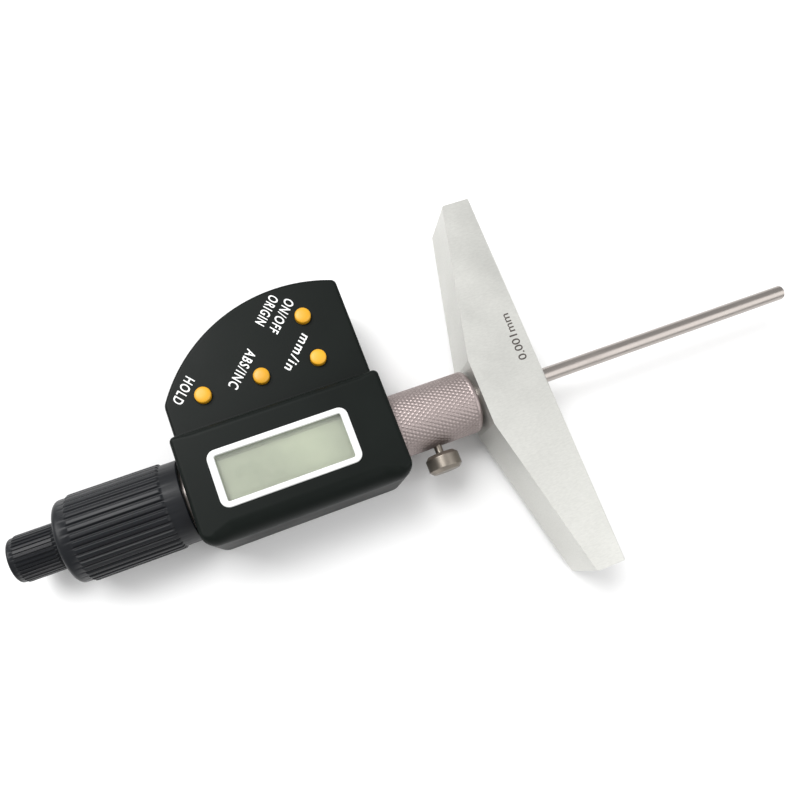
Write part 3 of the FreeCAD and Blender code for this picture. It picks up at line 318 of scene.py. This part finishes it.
def piece_from(name, vertices, faces):
    """A mesh object from points in millimetres."""
    mesh = bpy.data.meshes.new(name)
    mesh.from_pydata([tuple(MM * part for part in point) for point in vertices], [], faces)
    mesh.validate()
    thing = bpy.data.objects.new(name, mesh)
    bpy.context.scene.collection.objects.link(thing)
    work = bmesh.new()
    work.from_mesh(mesh)
    bmesh.ops.remove_doubles(work, verts=work.verts, dist=1e-7)
    bmesh.ops.recalc_face_normals(work, faces=work.faces)
    work.to_mesh(mesh)
    work.free()
    return thing


def smooth(thing, angle):
    """Smooth shading that stays crisp at real edges and flat on real flats."""
    mesh = thing.data
    mesh.polygons.foreach_set("use_smooth", [True] * len(mesh.polygons))
    mesh.set_sharp_from_angle(angle=math.radians(angle))
    weighted = thing.modifiers.new("Flat faces", "WEIGHTED_NORMAL")
    weighted.keep_sharp = True


def settle(thing, node, angle):
    """Give a finished piece its finish and the body of the CAD node that it stands for, and hide that node.
    """
    slot = slot_of(node)
    thing.data.materials.clear()
    thing.data.materials.append(finish_named(slot))
    smooth(thing, angle)
    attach(thing, body_of(node))
    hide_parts(node)


def combine(target, tools, operation):
    """Union with or cut by each tool in turn; the tools are used up."""
    for tool in tools:
        step = target.modifiers.new("Join", "BOOLEAN")
        step.operation = operation
        step.solver = "EXACT"
        step.object = tool
        bpy.context.view_layer.update()
        result = bpy.data.meshes.new_from_object(target.evaluated_get(bpy.context.evaluated_depsgraph_get()))
        target.modifiers.remove(step)
        target.data = result
        bpy.data.objects.remove(tool)


def rings_to_piece(name, rings, closed=False):
    """Skin equal rings of points in order, with capped ends unless the stack closes on itself."""
    count = len(rings[0])
    vertices = [point for ring in rings for point in ring]
    faces = []
    spans = len(rings) if closed else len(rings) - 1
    for i in range(spans):
        near, far = i * count, (i + 1) % len(rings) * count
        for j in range(count):
            k = (j + 1) % count
            faces.append((near + j, near + k, far + k, far + j))
    if not closed:
        faces.append(tuple(range(count)))
        faces.append(tuple(range((len(rings) - 1) * count, len(rings) * count)))
    return piece_from(name, vertices, faces)


def eased(profile, radius, steps=4):
    """A closed profile with rounded corners; a corner may carry its own radius as a third number."""
    rounded = []
    count = len(profile)
    for i, corner in enumerate(profile):
        here = Vector(corner[:2])
        before, after = Vector(profile[i - 1][:2]), Vector(profile[(i + 1) % count][:2])
        wanted = corner[2] if len(corner) > 2 else radius
        if wanted <= 0:
            rounded.append(tuple(here))
            continue
        back, ahead = before - here, after - here
        bend = back.angle(ahead)
        reach = min(wanted / math.tan(bend / 2), 0.45 * back.length, 0.45 * ahead.length)
        start, end = here + back.normalized() * reach, here + ahead.normalized() * reach
        for j in range(steps + 1):
            t = j / steps
            point = start * (1 - t) ** 2 + here * 2 * t * (1 - t) + end * t * t
            rounded.append(tuple(point))
    return rounded


AXES = {
    "x": (Vector((1, 0, 0)), Vector((0, 1, 0)), Vector((0, 0, 1))),
    "y": (Vector((0, 1, 0)), Vector((0, 0, 1)), Vector((1, 0, 0))),
    "z": (Vector((0, 0, 1)), Vector((1, 0, 0)), Vector((0, 1, 0))),
}


def turn(name, profile, segments, axis="x", centre=(0, 0, 0), wave=None):
    """Turn a closed profile of (along, radius) points; wave(along, radius, angle) may change the radius."""
    ahead, side, up = AXES[axis]
    middle = Vector(centre)
    count = len(profile)
    vertices, faces = [], []
    for along, radius in profile:
        for j in range(segments):
            angle = 2 * math.pi * j / segments
            reach = wave(along, radius, angle) if wave else radius
            spoke = side * math.cos(angle) + up * math.sin(angle)
            vertices.append(tuple(middle + ahead * along + spoke * reach))
    for i in range(count):
        for j in range(segments):
            k = (j + 1) % segments
            near, far = i * segments, (i + 1) % count * segments
            faces.append((near + j, near + k, far + k, far + j))
    return piece_from(name, vertices, faces)


def outline(corners, arc_steps=10):
    """Points and inward directions round a plan with rounded corners, given anticlockwise as
    (x, y, radius). Each point also says which corner it belongs to and how far round it is."""
    result = []
    count = len(corners)
    for i, (x, y, radius) in enumerate(corners):
        here = Vector((x, y))
        back = (Vector(corners[i - 1][:2]) - here).normalized()
        ahead = (Vector(corners[(i + 1) % count][:2]) - here).normalized()
        bend = back.angle(ahead)
        middle = here + (back + ahead).normalized() * radius / math.sin(bend / 2)
        normal_in = Vector((back.y, -back.x))
        if normal_in.dot(ahead) < 0:
            normal_in = -normal_in
        normal_out = Vector((-ahead.y, ahead.x))
        if normal_out.dot(back) < 0:
            normal_out = -normal_out
        for j in range(arc_steps + 1):
            t = j / arc_steps
            direction = slerp(normal_in, normal_out, t)
            result.append((middle - direction * radius, direction, i, t))
    return result


def slerp(a, b, t):
    angle = a.angle(b)
    if angle < 1e-6:
        return a.copy()
    return (a * math.sin((1 - t) * angle) + b * math.sin(t * angle)) / math.sin(angle)


def along_edge(first, second, fractions):
    """Extra outline points on the straight run between two others."""
    return [(first[0].lerp(second[0], f), first[1].lerp(second[1], f).normalized(), first[2], 1 + f)
            for f in fractions]


def rounded_block(name, plan, rounding, floor, top, steps=9):
    """A block whose top edge has its own radius at each outline point."""
    rings = [[(*point, floor) for point, _, _, _ in plan],
             [(*point, top - radius) for (point, _, _, _), radius in zip(plan, rounding)]]
    for k in range(1, steps + 1):
        turn_angle = math.pi / 2 * k / steps
        ring = []
        for (point, inward, _, _), radius in zip(plan, rounding):
            place = point + inward * radius * (1 - math.cos(turn_angle))
            ring.append((place.x, place.y, top - radius * (1 - math.sin(turn_angle))))
        rings.append(ring)
    return rings_to_piece(name, rings)


def plain_box(name, left, right, low, high, floor, top):
    corners = [(left, low), (right, low), (right, high), (left, high)]
    return rings_to_piece(name, [[(x, y, z) for x, y in corners] for z in (floor, top)])


def peg(name, x, y, radius, floor, top, segments=48):
    turns = [2 * math.pi * j / segments for j in range(segments)]
    ring = [(x + radius * math.cos(angle), y + radius * math.sin(angle)) for angle in turns]
    return rings_to_piece(name, [[(px, py, z) for px, py in ring] for z in (floor, top)])


def cross_peg(name, radius, start, end, segments=64):
    """A round tool along the instrument's axis."""
    return turn(name, [(start, 0.0), (start, radius), (end, radius), (end, 0.0)], segments)


# ---------------------------------------------------------------- pieces

def blend_radius(t, start, end):
    smoothed = t * t * (3 - 2 * t)
    return start + (end - start) * smoothed


def housing_block(s):
    """The deep part of the shell: generous rounding along the low side, tight along the ends."""
    high_corner, at_high, at_low = 1.3, 1.25, 0.95 * s.corner_round
    near_step, near_count = 0.7, 6
    base = outline([(s.left, s.low, s.corner_round), (s.right, s.low, s.corner_round),
                    (s.right, s.high, high_corner), (s.left, s.high, high_corner)])
    arc = {0: (s.side_round, at_low), 1: (at_low, s.side_round),
           2: (s.side_round, at_high), 3: (at_high, s.side_round)}
    side = {0: (at_low, s.low_round), 2: (at_high, s.step_round)}
    plan, rounding = [], []
    for i, point in enumerate(base):
        corner, t = point[2], point[3]
        plan.append(point)
        rounding.append(blend_radius(t, *arc[corner]))
        following = base[(i + 1) % len(base)]
        if corner in side and following[2] != corner:
            run = (following[0] - point[0]).length
            near = [near_step * k / run for k in range(1, near_count + 1)]
            fractions = near + [0.5] + [1 - f for f in reversed(near)]
            for f, extra in zip(fractions, along_edge(point, following, fractions)):
                plan.append(extra)
                grown = min(1.0, min(f, 1 - f) * run / (near_step * near_count))
                rounding.append(blend_radius(grown, *side[corner]))
    return rounded_block("shell_body", plan, rounding, s.floor, s.front)


def fin_outline(s, inset, low):
    """The fin's plan: straight ends, one long arc, and a softened corner at each end of the arc."""
    left, right = s.left + s.fin_inset + inset, s.right - s.fin_inset - inset
    radius = s.fin_radius - inset
    centre = Vector((s.fin_centre_x, s.fin_centre_y))
    first = soften_corner(centre, radius, right, max(0.2, s.fin_right_corner - inset), True)
    last = soften_corner(centre, radius, left, max(0.2, s.fin_left_corner - inset), False)
    from_angle = math.atan2(*(first[-1][0] - centre).yx)
    to_angle = math.atan2(*(last[0][0] - centre).yx)
    steps = 64
    arc = []
    for k in range(1, steps):
        angle = from_angle + (to_angle - from_angle) * k / steps
        direction = Vector((math.cos(angle), math.sin(angle)))
        arc.append((centre + direction * radius, -direction))
    feet = [(Vector((left, low)), Vector((1, 0))), (Vector((right, low)), Vector((-1, 0)))]
    return feet + first + arc + last


def soften_corner(centre, radius, wall_x, soften, at_right, steps=10):
    """A small arc inside the corner between an upright end and the fin's long arc."""
    inward = -1 if at_right else 1
    small_x = wall_x + inward * soften
    small_y = centre.y + math.sqrt((radius - soften) ** 2 - (small_x - centre.x) ** 2)
    small = Vector((small_x, small_y))
    outward = (small - centre).normalized()
    upright = Vector((-inward, 0))
    start, end = (upright, outward) if at_right else (outward, upright)
    points = []
    for k in range(steps + 1):
        direction = slerp(start, end, k / steps)
        points.append((small + direction * soften, -direction))
    return points


def fin_block(s, low):
    plan = [(point, inward, 0, 0) for point, inward in fin_outline(s, 0, low)]
    return rounded_block("shell_fin", plan, [s.fin_edge] * len(plan), s.fin_floor, s.fin_front, 7)


def fin_cavity(s):
    plan = fin_outline(s, s.fin_wall, s.high)
    return rings_to_piece("fin_cavity", [[(*point, z) for point, _ in plan]
                                         for z in (s.fin_floor - 1, s.fin_front - s.fin_wall)])


def foot_strip(s):
    """Hollow rounding where the display step stands on the fin."""
    radius, sunk = s.foot_round, 0.4
    section = [(s.high - sunk, s.fin_front - sunk), (s.high + radius, s.fin_front - sunk),
               (s.high + radius, s.fin_front)]
    for k in range(1, 12):
        angle = math.pi * 1.5 - math.pi / 2 * k / 12
        section.append((s.high + radius * (1 + math.cos(angle)),
                        s.fin_front + radius * (1 + math.sin(angle))))
    section += [(s.high, s.fin_front + radius), (s.high - sunk, s.fin_front + radius)]
    ends = (s.left + s.fin_inset + 0.25, s.right - s.fin_inset - 0.25)
    return rings_to_piece("foot_strip", [[(x, y, z) for y, z in section] for x in ends])


def display_plan(s, across, along, corner):
    """A rounded rectangle centred on the display, its half sizes moved out by the two margins."""
    half_x, half_y = s.display_length / 2 + across, s.display_width / 2 + along
    return outline([(s.display_x - half_x, -half_y, corner), (s.display_x + half_x, -half_y, corner),
                    (s.display_x + half_x, half_y, corner), (s.display_x - half_x, half_y, corner)], 8)


KEYS = ("key_on_off", "key_unit", "key_absolute", "key_hold")


def key_centre(node):
    """Where a key stands on the fin, in millimetres."""
    low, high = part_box(node)
    middle = (low + high) / (2 * MM)
    return middle.x, middle.y


def make_shell(s):
    shell = housing_block(s)
    combine(shell, [fin_block(s, s.high - 1.2), foot_strip(s)], "UNION")
    opening = rings_to_piece("display_opening", [[(*p[0], z) for p in display_plan(s, 0, 0, s.display_corner)]
                                                 for z in (s.front - s.wall - 1, s.front + 1)])
    cavity = plain_box("body_cavity", s.left + s.wall, s.right - s.wall, s.low + s.wall, s.high - s.wall,
                       s.floor - 1, s.front - s.wall)
    cuts = [opening, cavity, fin_cavity(s),
            cross_peg("sleeve_hole", s.front_hole, s.right - 3, s.right + 1),
            cross_peg("barrel_hole", s.rear_hole, s.left - 1, s.left + 3)]
    for node in KEYS:
        cuts.append(peg(node + "_hole", *key_centre(node), s.key_radius + s.key_gap,
                        s.fin_front - 3, s.fin_front + 1))
    combine(shell, cuts, "DIFFERENCE")
    shell.name = "housing_shell"
    settle(shell, "front_shell", angle=30)


def make_display(s):
    """White frame with rounded edges round a sight, and the clear window rebated into it."""
    fit, edge, lip, sight_corner = 0.02, 0.35, 0.25, 0.5
    top, floor = s.front + s.display_proud, s.front - s.wall
    rebate = floor + s.window_thickness
    outer = display_plan(s, -fit, -fit, s.display_corner)
    hole = display_plan(s, -s.display_side, -s.display_rail, sight_corner)
    lap = display_plan(s, s.window_lap - s.display_side, s.window_lap - s.display_rail, sight_corner)
    levels = []
    for k in range(5):
        angle = math.pi / 2 * k / 4
        levels.append([(*(p + n * edge * (1 - math.cos(angle))), top - edge * (1 - math.sin(angle)))
                       for p, n, _, _ in outer])
    for k in range(4):
        angle = math.pi / 2 * k / 3
        levels.append([(*(p - n * lip * (1 - math.sin(angle))), top - lip * (1 - math.cos(angle)))
                       for p, n, _, _ in hole])
    for plan, height in ((hole, rebate), (lap, rebate), (lap, floor), (outer, floor)):
        levels.append([(*p, height) for p, _, _, _ in plan])
    frame_piece = rings_to_piece("display_frame", levels, closed=True)
    settle(frame_piece, "display_bezel", angle=40)
    inside = s.window_lap - fit
    pane = display_plan(s, inside - s.display_side, inside - s.display_rail, sight_corner)
    window = rounded_block("display_pane", pane, [0.1] * len(pane), floor, rebate, 3)
    settle(window, "display_window", angle=40)


def make_keys(s):
    """Domed keys, each with its flange under the shell."""
    flange_radius, flange_floor, flange_top = 2.7, 5.5, 6.0
    top = s.fin_front + s.key_height
    shoulder = top - s.key_dome
    for node in KEYS:
        x, y = key_centre(node)
        profile = [(flange_floor, 0.0), (flange_floor, flange_radius), (flange_top, flange_radius),
                   (flange_top, s.key_radius), (shoulder, s.key_radius)]
        for k in range(1, 10):
            angle = math.pi / 2 * k / 10
            profile.append((shoulder + s.key_dome * math.sin(angle), s.key_radius * math.cos(angle) ** 0.75))
        profile.append((top, 0.0))
        key = turn(node + "_cap", profile, 64, "z", (x, y, 0))
        settle(key, node, angle=40)


def knurl_wave(g, around, front, rear):
    """Crossed helical grooves that fade out at both ends of the sleeve."""
    radius, slope, land, run_out = g.sleeve_radius, 0.62, 0.75, 0.5

    def wave(along, reach, angle):
        if reach < radius - 0.02:
            return reach
        fade = min(1.0, (front - along) / run_out, (along - rear) / run_out)
        turns = along / g.knurl_pitch * 2 * math.pi * slope
        first = abs(math.sin((around * angle + turns) / 2))
        second = abs(math.sin((around * angle - turns) / 2))
        depth = 1 - min(1.0, min(first, second) / land)
        return reach - g.knurl_depth * max(0.0, fade) * depth

    return wave


def make_sleeve(g):
    """The grip sleeve, with real grooves and a hole for the lock screw."""
    front, rear, radius, rounding = g.sleeve_front, g.sleeve_rear, g.sleeve_radius, g.sleeve_round
    rear_bevel, steps = 0.3, 132
    flat_front, flat_rear = front - rounding, rear + rear_bevel
    around = round(2 * math.pi * radius / g.knurl_pitch)
    profile = [(front, g.sleeve_bore), (front, radius - rounding)]
    for k in range(1, 8):
        angle = math.pi / 2 * k / 8
        profile.append((front - rounding * (1 - math.cos(angle)), radius - rounding * (1 - math.sin(angle))))
    profile += [(flat_front + (flat_rear - flat_front) * k / steps, radius) for k in range(steps + 1)]
    profile += [(rear, radius - rear_bevel), (rear, g.sleeve_bore)]
    wave = knurl_wave(g, around, flat_front, flat_rear)
    sleeve = turn("knurled_sleeve", profile, around * 6, wave=wave)
    hole = turn("lock_hole", [(-9.5, 0.0), (-9.5, g.lock_bore), (-4, g.lock_bore), (-4, 0.0)], 40, "y",
                (g.lock_x, 0, 0))
    combine(sleeve, [hole], "DIFFERENCE")
    settle(sleeve, "grip_sleeve", angle=60)


def rib_wave(count, height, radius, start, end, taper, crest):
    """Ribs round a grip: straight sided with rounded crests, running out at both ends."""

    def wave(along, reach, angle):
        if reach < radius - 0.6 or along > start or along < end:
            return reach
        fade = min(1.0, (start - along) / taper, (along - end) / taper)
        fade = math.sqrt(max(0.0, 1 - (1 - fade) ** 2))
        place = abs((angle * count / (2 * math.pi)) % 1 - 0.5) * 2
        rise = min(1.0, max(0.0, (place - (1 - crest) / 2) / (crest / 2)))
        return reach + height * fade * rise * rise * (3 - 2 * rise)

    return wave


def quarter(steps, count):
    """Angles of a rounded edge: count of them, at the given share of a quarter turn."""
    return [math.pi / 2 * k / steps for k in count]


def make_thimble(g):
    """The ribbed thimble: a plain skirt in front, ribs, and a plain band behind."""
    front, radius, rounding = g.thimble_front, g.thimble_radius, g.thimble_round
    rear = front - g.thimble_length
    skirt, band, wall, bore, hub, edge = 4.1, 3.0, 3.0, 8.0, 5.0, 0.35
    start, end = front - skirt, rear + band
    profile = [(front, bore), (front, radius - edge)]
    profile += [(front - edge * (1 - math.cos(a)), radius - edge * (1 - math.sin(a)))
                for a in quarter(4, range(1, 5))]
    profile += [(start - (start - end) * k / 60, radius) for k in range(61)]
    profile += [(rear + rounding * (1 - math.sin(a)), radius - rounding * (1 - math.cos(a)))
                for a in quarter(8, range(9))]
    profile += [(rear, hub), (rear + wall, hub), (rear + wall, bore)]
    wave = rib_wave(g.thimble_ribs, g.thimble_rib, radius, start, end, 0.7, 0.62)
    thimble = turn("ribbed_thimble", profile, g.thimble_ribs * 14, wave=wave)
    settle(thimble, "thimble", angle=50)


def make_knob(g):
    """The ratchet knob, with the recess for its screw."""
    front, radius, rounding = g.knob_front, g.knob_radius, g.knob_round
    rear = front - g.knob_length
    band, edge, bore = 0.8, 0.2, 4.44
    recess, recess_radius, wall, screw_hole = 0.9, 2.2, 1.4, 1.1
    start, end = front - band, rear + rounding + band
    profile = [(front, bore), (front, radius - edge), (front - edge, radius)]
    profile += [(start - (start - end) * k / 40, radius) for k in range(41)]
    profile += [(rear + rounding * (1 - math.sin(a)), radius - rounding * (1 - math.cos(a)))
                for a in quarter(6, range(7))]
    profile += [(rear, recess_radius), (rear + recess, recess_radius), (rear + recess, screw_hole),
                (rear + wall, screw_hole), (rear + wall, bore)]
    wave = rib_wave(g.knob_ribs, g.knob_rib, radius, start, end, 0.4, 0.7)
    knob = turn("ribbed_knob", profile, g.knob_ribs * 12, wave=wave)
    settle(knob, "ratchet_knob", angle=50)


def make_turned_steel(g):
    """Measuring rod and lock screw, with their fine edges."""
    tip, radius, collar = g.rod_tip, g.rod_radius, 3.2
    collar_front, collar_rear, rear = -126.2, -128.2, -130.2
    rod = [(tip, 0.0, 0), (tip, radius - 0.3), (tip - 0.3, radius), (collar_front, radius, 0),
           (collar_front, collar), (collar_rear, collar), (collar_rear, radius, 0), (rear, radius),
           (rear, 0.0, 0)]
    settle(turn("rod", eased(rod, 0.08), 72), "measuring_rod", angle=40)
    near, far, head, bevel = g.lock_head_near, g.lock_head_far, g.lock_head_radius, g.lock_bevel
    neck, shank, shank_far = 1.05, 1.25, 8.175
    screw = [(-far, 0.0, 0), (-far, head - bevel, 0.15), (bevel - far, head, 0.25),
             (-near - bevel, head, 0.25), (-near, head - bevel, 0.15), (-near, neck, 0.1),
             (-shank_far, neck, 0.05), (-shank_far, shank, 0.1), (-g.lock_tip, shank, 0.1),
             (-g.lock_tip, 0.0, 0)]
    turned = turn("lock_screw_turned", eased(screw, 0.1), 72, "y", (g.lock_x, 0, 0))
    settle(turned, "lock_screw", angle=40)


# Each legend with the places of its first and last letter on the fin.
LEGENDS = (
    ("ON/OFF", (-54.96, 37.83), (-60.61, 31.86)),
    ("ORIGIN", (-58.17, 39.90), (-63.27, 34.91)),
    ("mm/in", (-54.43, 27.61), (-59.88, 21.37)),
    ("ABS/INC", (-67.98, 28.18), (-74.46, 21.51)),
    ("HOLD", (-84.11, 26.18), (-87.98, 22.34)),
)


def letters_mesh(text, slant, weight, spacing):
    """One line of letters as a solid mesh, before it is fitted to its place."""
    curve = bpy.data.curves.new(text, "FONT")
    curve.body = text
    curve.align_x, curve.align_y = "CENTER", "CENTER"
    curve.shear = slant
    curve.offset = weight
    curve.space_character = spacing
    curve.resolution_u = 6
    curve.extrude = 0.5
    words = bpy.data.objects.new(text, curve)
    bpy.context.scene.collection.objects.link(words)
    bpy.context.view_layer.update()
    shaped = words.evaluated_get(bpy.context.evaluated_depsgraph_get())
    mesh = bpy.data.meshes.new_from_object(shaped)
    bpy.data.objects.remove(words)
    return mesh


def print_letters(mesh, text, centre, degrees, size, top, node, slot):
    """Fit the letters to a width, height and thickness, lay them on a face that looks along +Z."""
    low = [min(v.co[axis] for v in mesh.vertices) for axis in range(3)]
    high = [max(v.co[axis] for v in mesh.vertices) for axis in range(3)]
    middle = [(a + b) / 2 for a, b in zip(low, high)]
    scale = Matrix.Diagonal((*(wanted / (b - a) for wanted, a, b in zip(size, low, high)), 1))
    turned = Matrix.Rotation(math.radians(degrees), 4, "Z")
    place = Matrix.Translation((*centre, top - size[2] / 2))
    mesh.transform(Matrix.Scale(MM, 4) @ place @ turned @ scale
                   @ Matrix.Translation([-part for part in middle]))
    thing = bpy.data.objects.new("print_" + text.replace("/", "_"), mesh)
    bpy.context.scene.collection.objects.link(thing)
    mesh.materials.clear()
    mesh.materials.append(finish_named(slot))
    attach(thing, body_of(node))


def print_key_legends(s):
    """Slightly slanted white print beside each key, a hair above the fin."""
    height, thickness, proud, degrees = 2.6, 0.1, 0.03, -135
    for text, first, last in LEGENDS:
        start, end = Vector(first), Vector(last)
        run = (end - start).length
        letter = run / (len(text) - 1)
        mesh = letters_mesh(text, slant=0.12, weight=0.012, spacing=1.22)
        print_letters(mesh, text, (start + end) / 2, degrees, (run + 0.9 * letter, height, thickness),
                      s.fin_front + proud, "front_shell", "white_print")


def engrave_base():
    """The smallest step of the display, filled dark on the base's front."""
    base_front, proud = 8.0, 0.01
    mesh = letters_mesh("0.001mm", slant=0.0, weight=0.01, spacing=1.0)
    print_letters(mesh, "0.001mm", (-3.7, 10.7), 90, (13.0, 2.2, 0.06),
                  base_front + proud, "base", "engraving")


# ---------------------------------------------------------------- operators

class MicrometerOperator(bpy.types.Operator):
    """Common ground of the piece makers."""

    bl_options = {"REGISTER", "UNDO"}

    def sizes(self, context):
        return context.scene.micrometer_housing

    def grips(self, context):
        return context.scene.micrometer_grips


class MICROMETER_OT_finishes(MicrometerOperator):
    """Make every finish and put it on the solids that stay as they are."""

    bl_idname = "micrometer.finishes"
    bl_label = "Finishes"

    def execute(self, context):
        make_finishes(context.scene.micrometer_colours)
        for name, solid in frame["nodes"].items():
            solid.data.materials.clear()
            solid.data.materials.append(finish_named(slot_of(name)))
        return {"FINISHED"}


class MICROMETER_OT_housing(MicrometerOperator):
    """The moulded shell with its key fin."""

    bl_idname = "micrometer.housing"
    bl_label = "Housing shell"

    def execute(self, context):
        make_shell(self.sizes(context))
        return {"FINISHED"}


class MICROMETER_OT_display(MicrometerOperator):
    """White frame and clear window of the display."""

    bl_idname = "micrometer.display"
    bl_label = "Display"

    def execute(self, context):
        make_display(self.sizes(context))
        return {"FINISHED"}


class MICROMETER_OT_keys(MicrometerOperator):
    """The four domed keys."""

    bl_idname = "micrometer.keys"
    bl_label = "Keys"

    def execute(self, context):
        make_keys(self.sizes(context))
        return {"FINISHED"}


class MICROMETER_OT_legends(MicrometerOperator):
    """Printed words beside the keys and the graduation value on the base."""

    bl_idname = "micrometer.legends"
    bl_label = "Lettering"

    def execute(self, context):
        print_key_legends(self.sizes(context))
        engrave_base()
        return {"FINISHED"}


class MICROMETER_OT_sleeve(MicrometerOperator):
    """The knurled grip sleeve."""

    bl_idname = "micrometer.sleeve"
    bl_label = "Knurled sleeve"

    def execute(self, context):
        make_sleeve(self.grips(context))
        return {"FINISHED"}


class MICROMETER_OT_grips(MicrometerOperator):
    """The ribbed thimble and the ratchet knob."""

    bl_idname = "micrometer.grips"
    bl_label = "Thimble and knob"

    def execute(self, context):
        make_thimble(self.grips(context))
        make_knob(self.grips(context))
        return {"FINISHED"}


class MICROMETER_OT_steel(MicrometerOperator):
    """Turned steel: the rod and the lock screw."""

    bl_idname = "micrometer.steel"
    bl_label = "Turned steel"

    def execute(self, context):
        make_turned_steel(self.grips(context))
        return {"FINISHED"}


def make_table(colours):
    """A wide matt surface just under the instrument."""
    reach, height = 2500, -11.25
    corners = [(-reach, -reach), (reach, -reach), (reach, reach), (-reach, reach)]
    table = piece_from("table", [(x, y, height) for x, y in corners], [(0, 1, 2, 3)])
    material, _ = shader_of("table", colours.floor, 0.8, 0.0, 0.2)
    table.data.materials.append(material)


def area_lamp(name, place, aim, size, power):
    lamp = bpy.data.lights.new(name, "AREA")
    lamp.shape = "RECTANGLE"
    lamp.size, lamp.size_y = size
    lamp.energy = power
    thing = bpy.data.objects.new(name, lamp)
    bpy.context.scene.collection.objects.link(thing)
    thing.location = place
    thing.rotation_euler = (Vector(aim) - Vector(place)).to_track_quat("-Z", "Y").to_euler()


class MICROMETER_OT_stage(MicrometerOperator):
    """Table, light and camera."""

    bl_idname = "micrometer.stage"
    bl_label = "Stage"

    def execute(self, context):
        scene = context.scene
        make_table(scene.micrometer_colours)
        make_world(scene)
        area_lamp("key_light", (-0.35, 0.45, 0.75), (-0.03, 0, 0), (0.6, 0.6), 9.0)
        area_lamp("fill_light", (0.45, -0.35, 0.6), (-0.03, 0, 0), (0.8, 0.8), 3.0)
        make_camera(scene)
        return {"FINISHED"}


def make_world(scene):
    """Even light all round, seen as plain white by the camera."""
    world = bpy.data.worlds.new("Studio")
    scene.world = world
    world.use_nodes = True
    tree = world.node_tree
    tree.nodes.clear()
    output = tree.nodes.new("ShaderNodeOutputWorld")
    paths = tree.nodes.new("ShaderNodeLightPath")
    dim, white = tree.nodes.new("ShaderNodeBackground"), tree.nodes.new("ShaderNodeBackground")
    dim.inputs["Color"].default_value = (1, 1, 1, 1)
    dim.inputs["Strength"].default_value = 0.55
    white.inputs["Color"].default_value = (1, 1, 1, 1)
    white.inputs["Strength"].default_value = 1.0
    mix = tree.nodes.new("ShaderNodeMixShader")
    tree.links.new(paths.outputs["Is Camera Ray"], mix.inputs["Fac"])
    tree.links.new(dim.outputs["Background"], mix.inputs[1])
    tree.links.new(white.outputs["Background"], mix.inputs[2])
    tree.links.new(mix.outputs["Shader"], output.inputs["Surface"])
    scene.view_settings.view_transform = "Standard"


def make_camera(scene):
    """Close above the housing, looking slightly towards the fin and the base."""
    camera = bpy.data.cameras.new("view")
    camera.sensor_width = 36.0
    camera.lens = 29.475
    camera.clip_start = 0.01
    camera.shift_x = 0.026
    camera.shift_y = 0.0475
    thing = bpy.data.objects.new("view", camera)
    scene.collection.objects.link(thing)
    right = Vector((0.9315, -0.3528, 0.0889)).normalized()
    ahead = Vector((0.1555, 0.1653, -0.9739)).normalized()
    up = right.cross(ahead)
    turn_matrix = Matrix((right, up, -ahead)).transposed()
    thing.matrix_world = Matrix.Translation((-0.0705, -0.0288, 0.1630)) @ turn_matrix.to_4x4()
    scene.camera = thing


STEPS = (
    MICROMETER_OT_finishes,
    MICROMETER_OT_housing,
    MICROMETER_OT_display,
    MICROMETER_OT_keys,
    MICROMETER_OT_legends,
    MICROMETER_OT_sleeve,
    MICROMETER_OT_grips,
    MICROMETER_OT_steel,
    MICROMETER_OT_stage,
)


class MICROMETER_PT_panel(bpy.types.Panel):
    """One button for each group of pieces."""

    bl_label = "Depth micrometer"
    bl_idname = "MICROMETER_PT_panel"
    bl_space_type = "VIEW_3D"
    bl_region_type = "UI"
    bl_category = "Micrometer"

    def draw(self, context):
        for step in STEPS:
            self.layout.operator(step.bl_idname)


GROUPS = {
    "micrometer_housing": MicrometerHousingSizes,
    "micrometer_grips": MicrometerGripSizes,
    "micrometer_colours": MicrometerColours,
}


def register():
    for group in GROUPS.values():
        bpy.utils.register_class(group)
    for step in STEPS:
        bpy.utils.register_class(step)
    bpy.utils.register_class(MICROMETER_PT_panel)
    for name, group in GROUPS.items():
        setattr(bpy.types.Scene, name, bpy.props.PointerProperty(type=group))


def unregister():
    for name in GROUPS:
        delattr(bpy.types.Scene, name)
    bpy.utils.unregister_class(MICROMETER_PT_panel)
    for step in reversed(STEPS):
        bpy.utils.unregister_class(step)
    for group in GROUPS.values():
        bpy.utils.unregister_class(group)


def main():
    register()
    for step in STEPS:
        family, name = step.bl_idname.split(".")
        getattr(getattr(bpy.ops, family), name)()


if __name__ == "__main__":
    main()
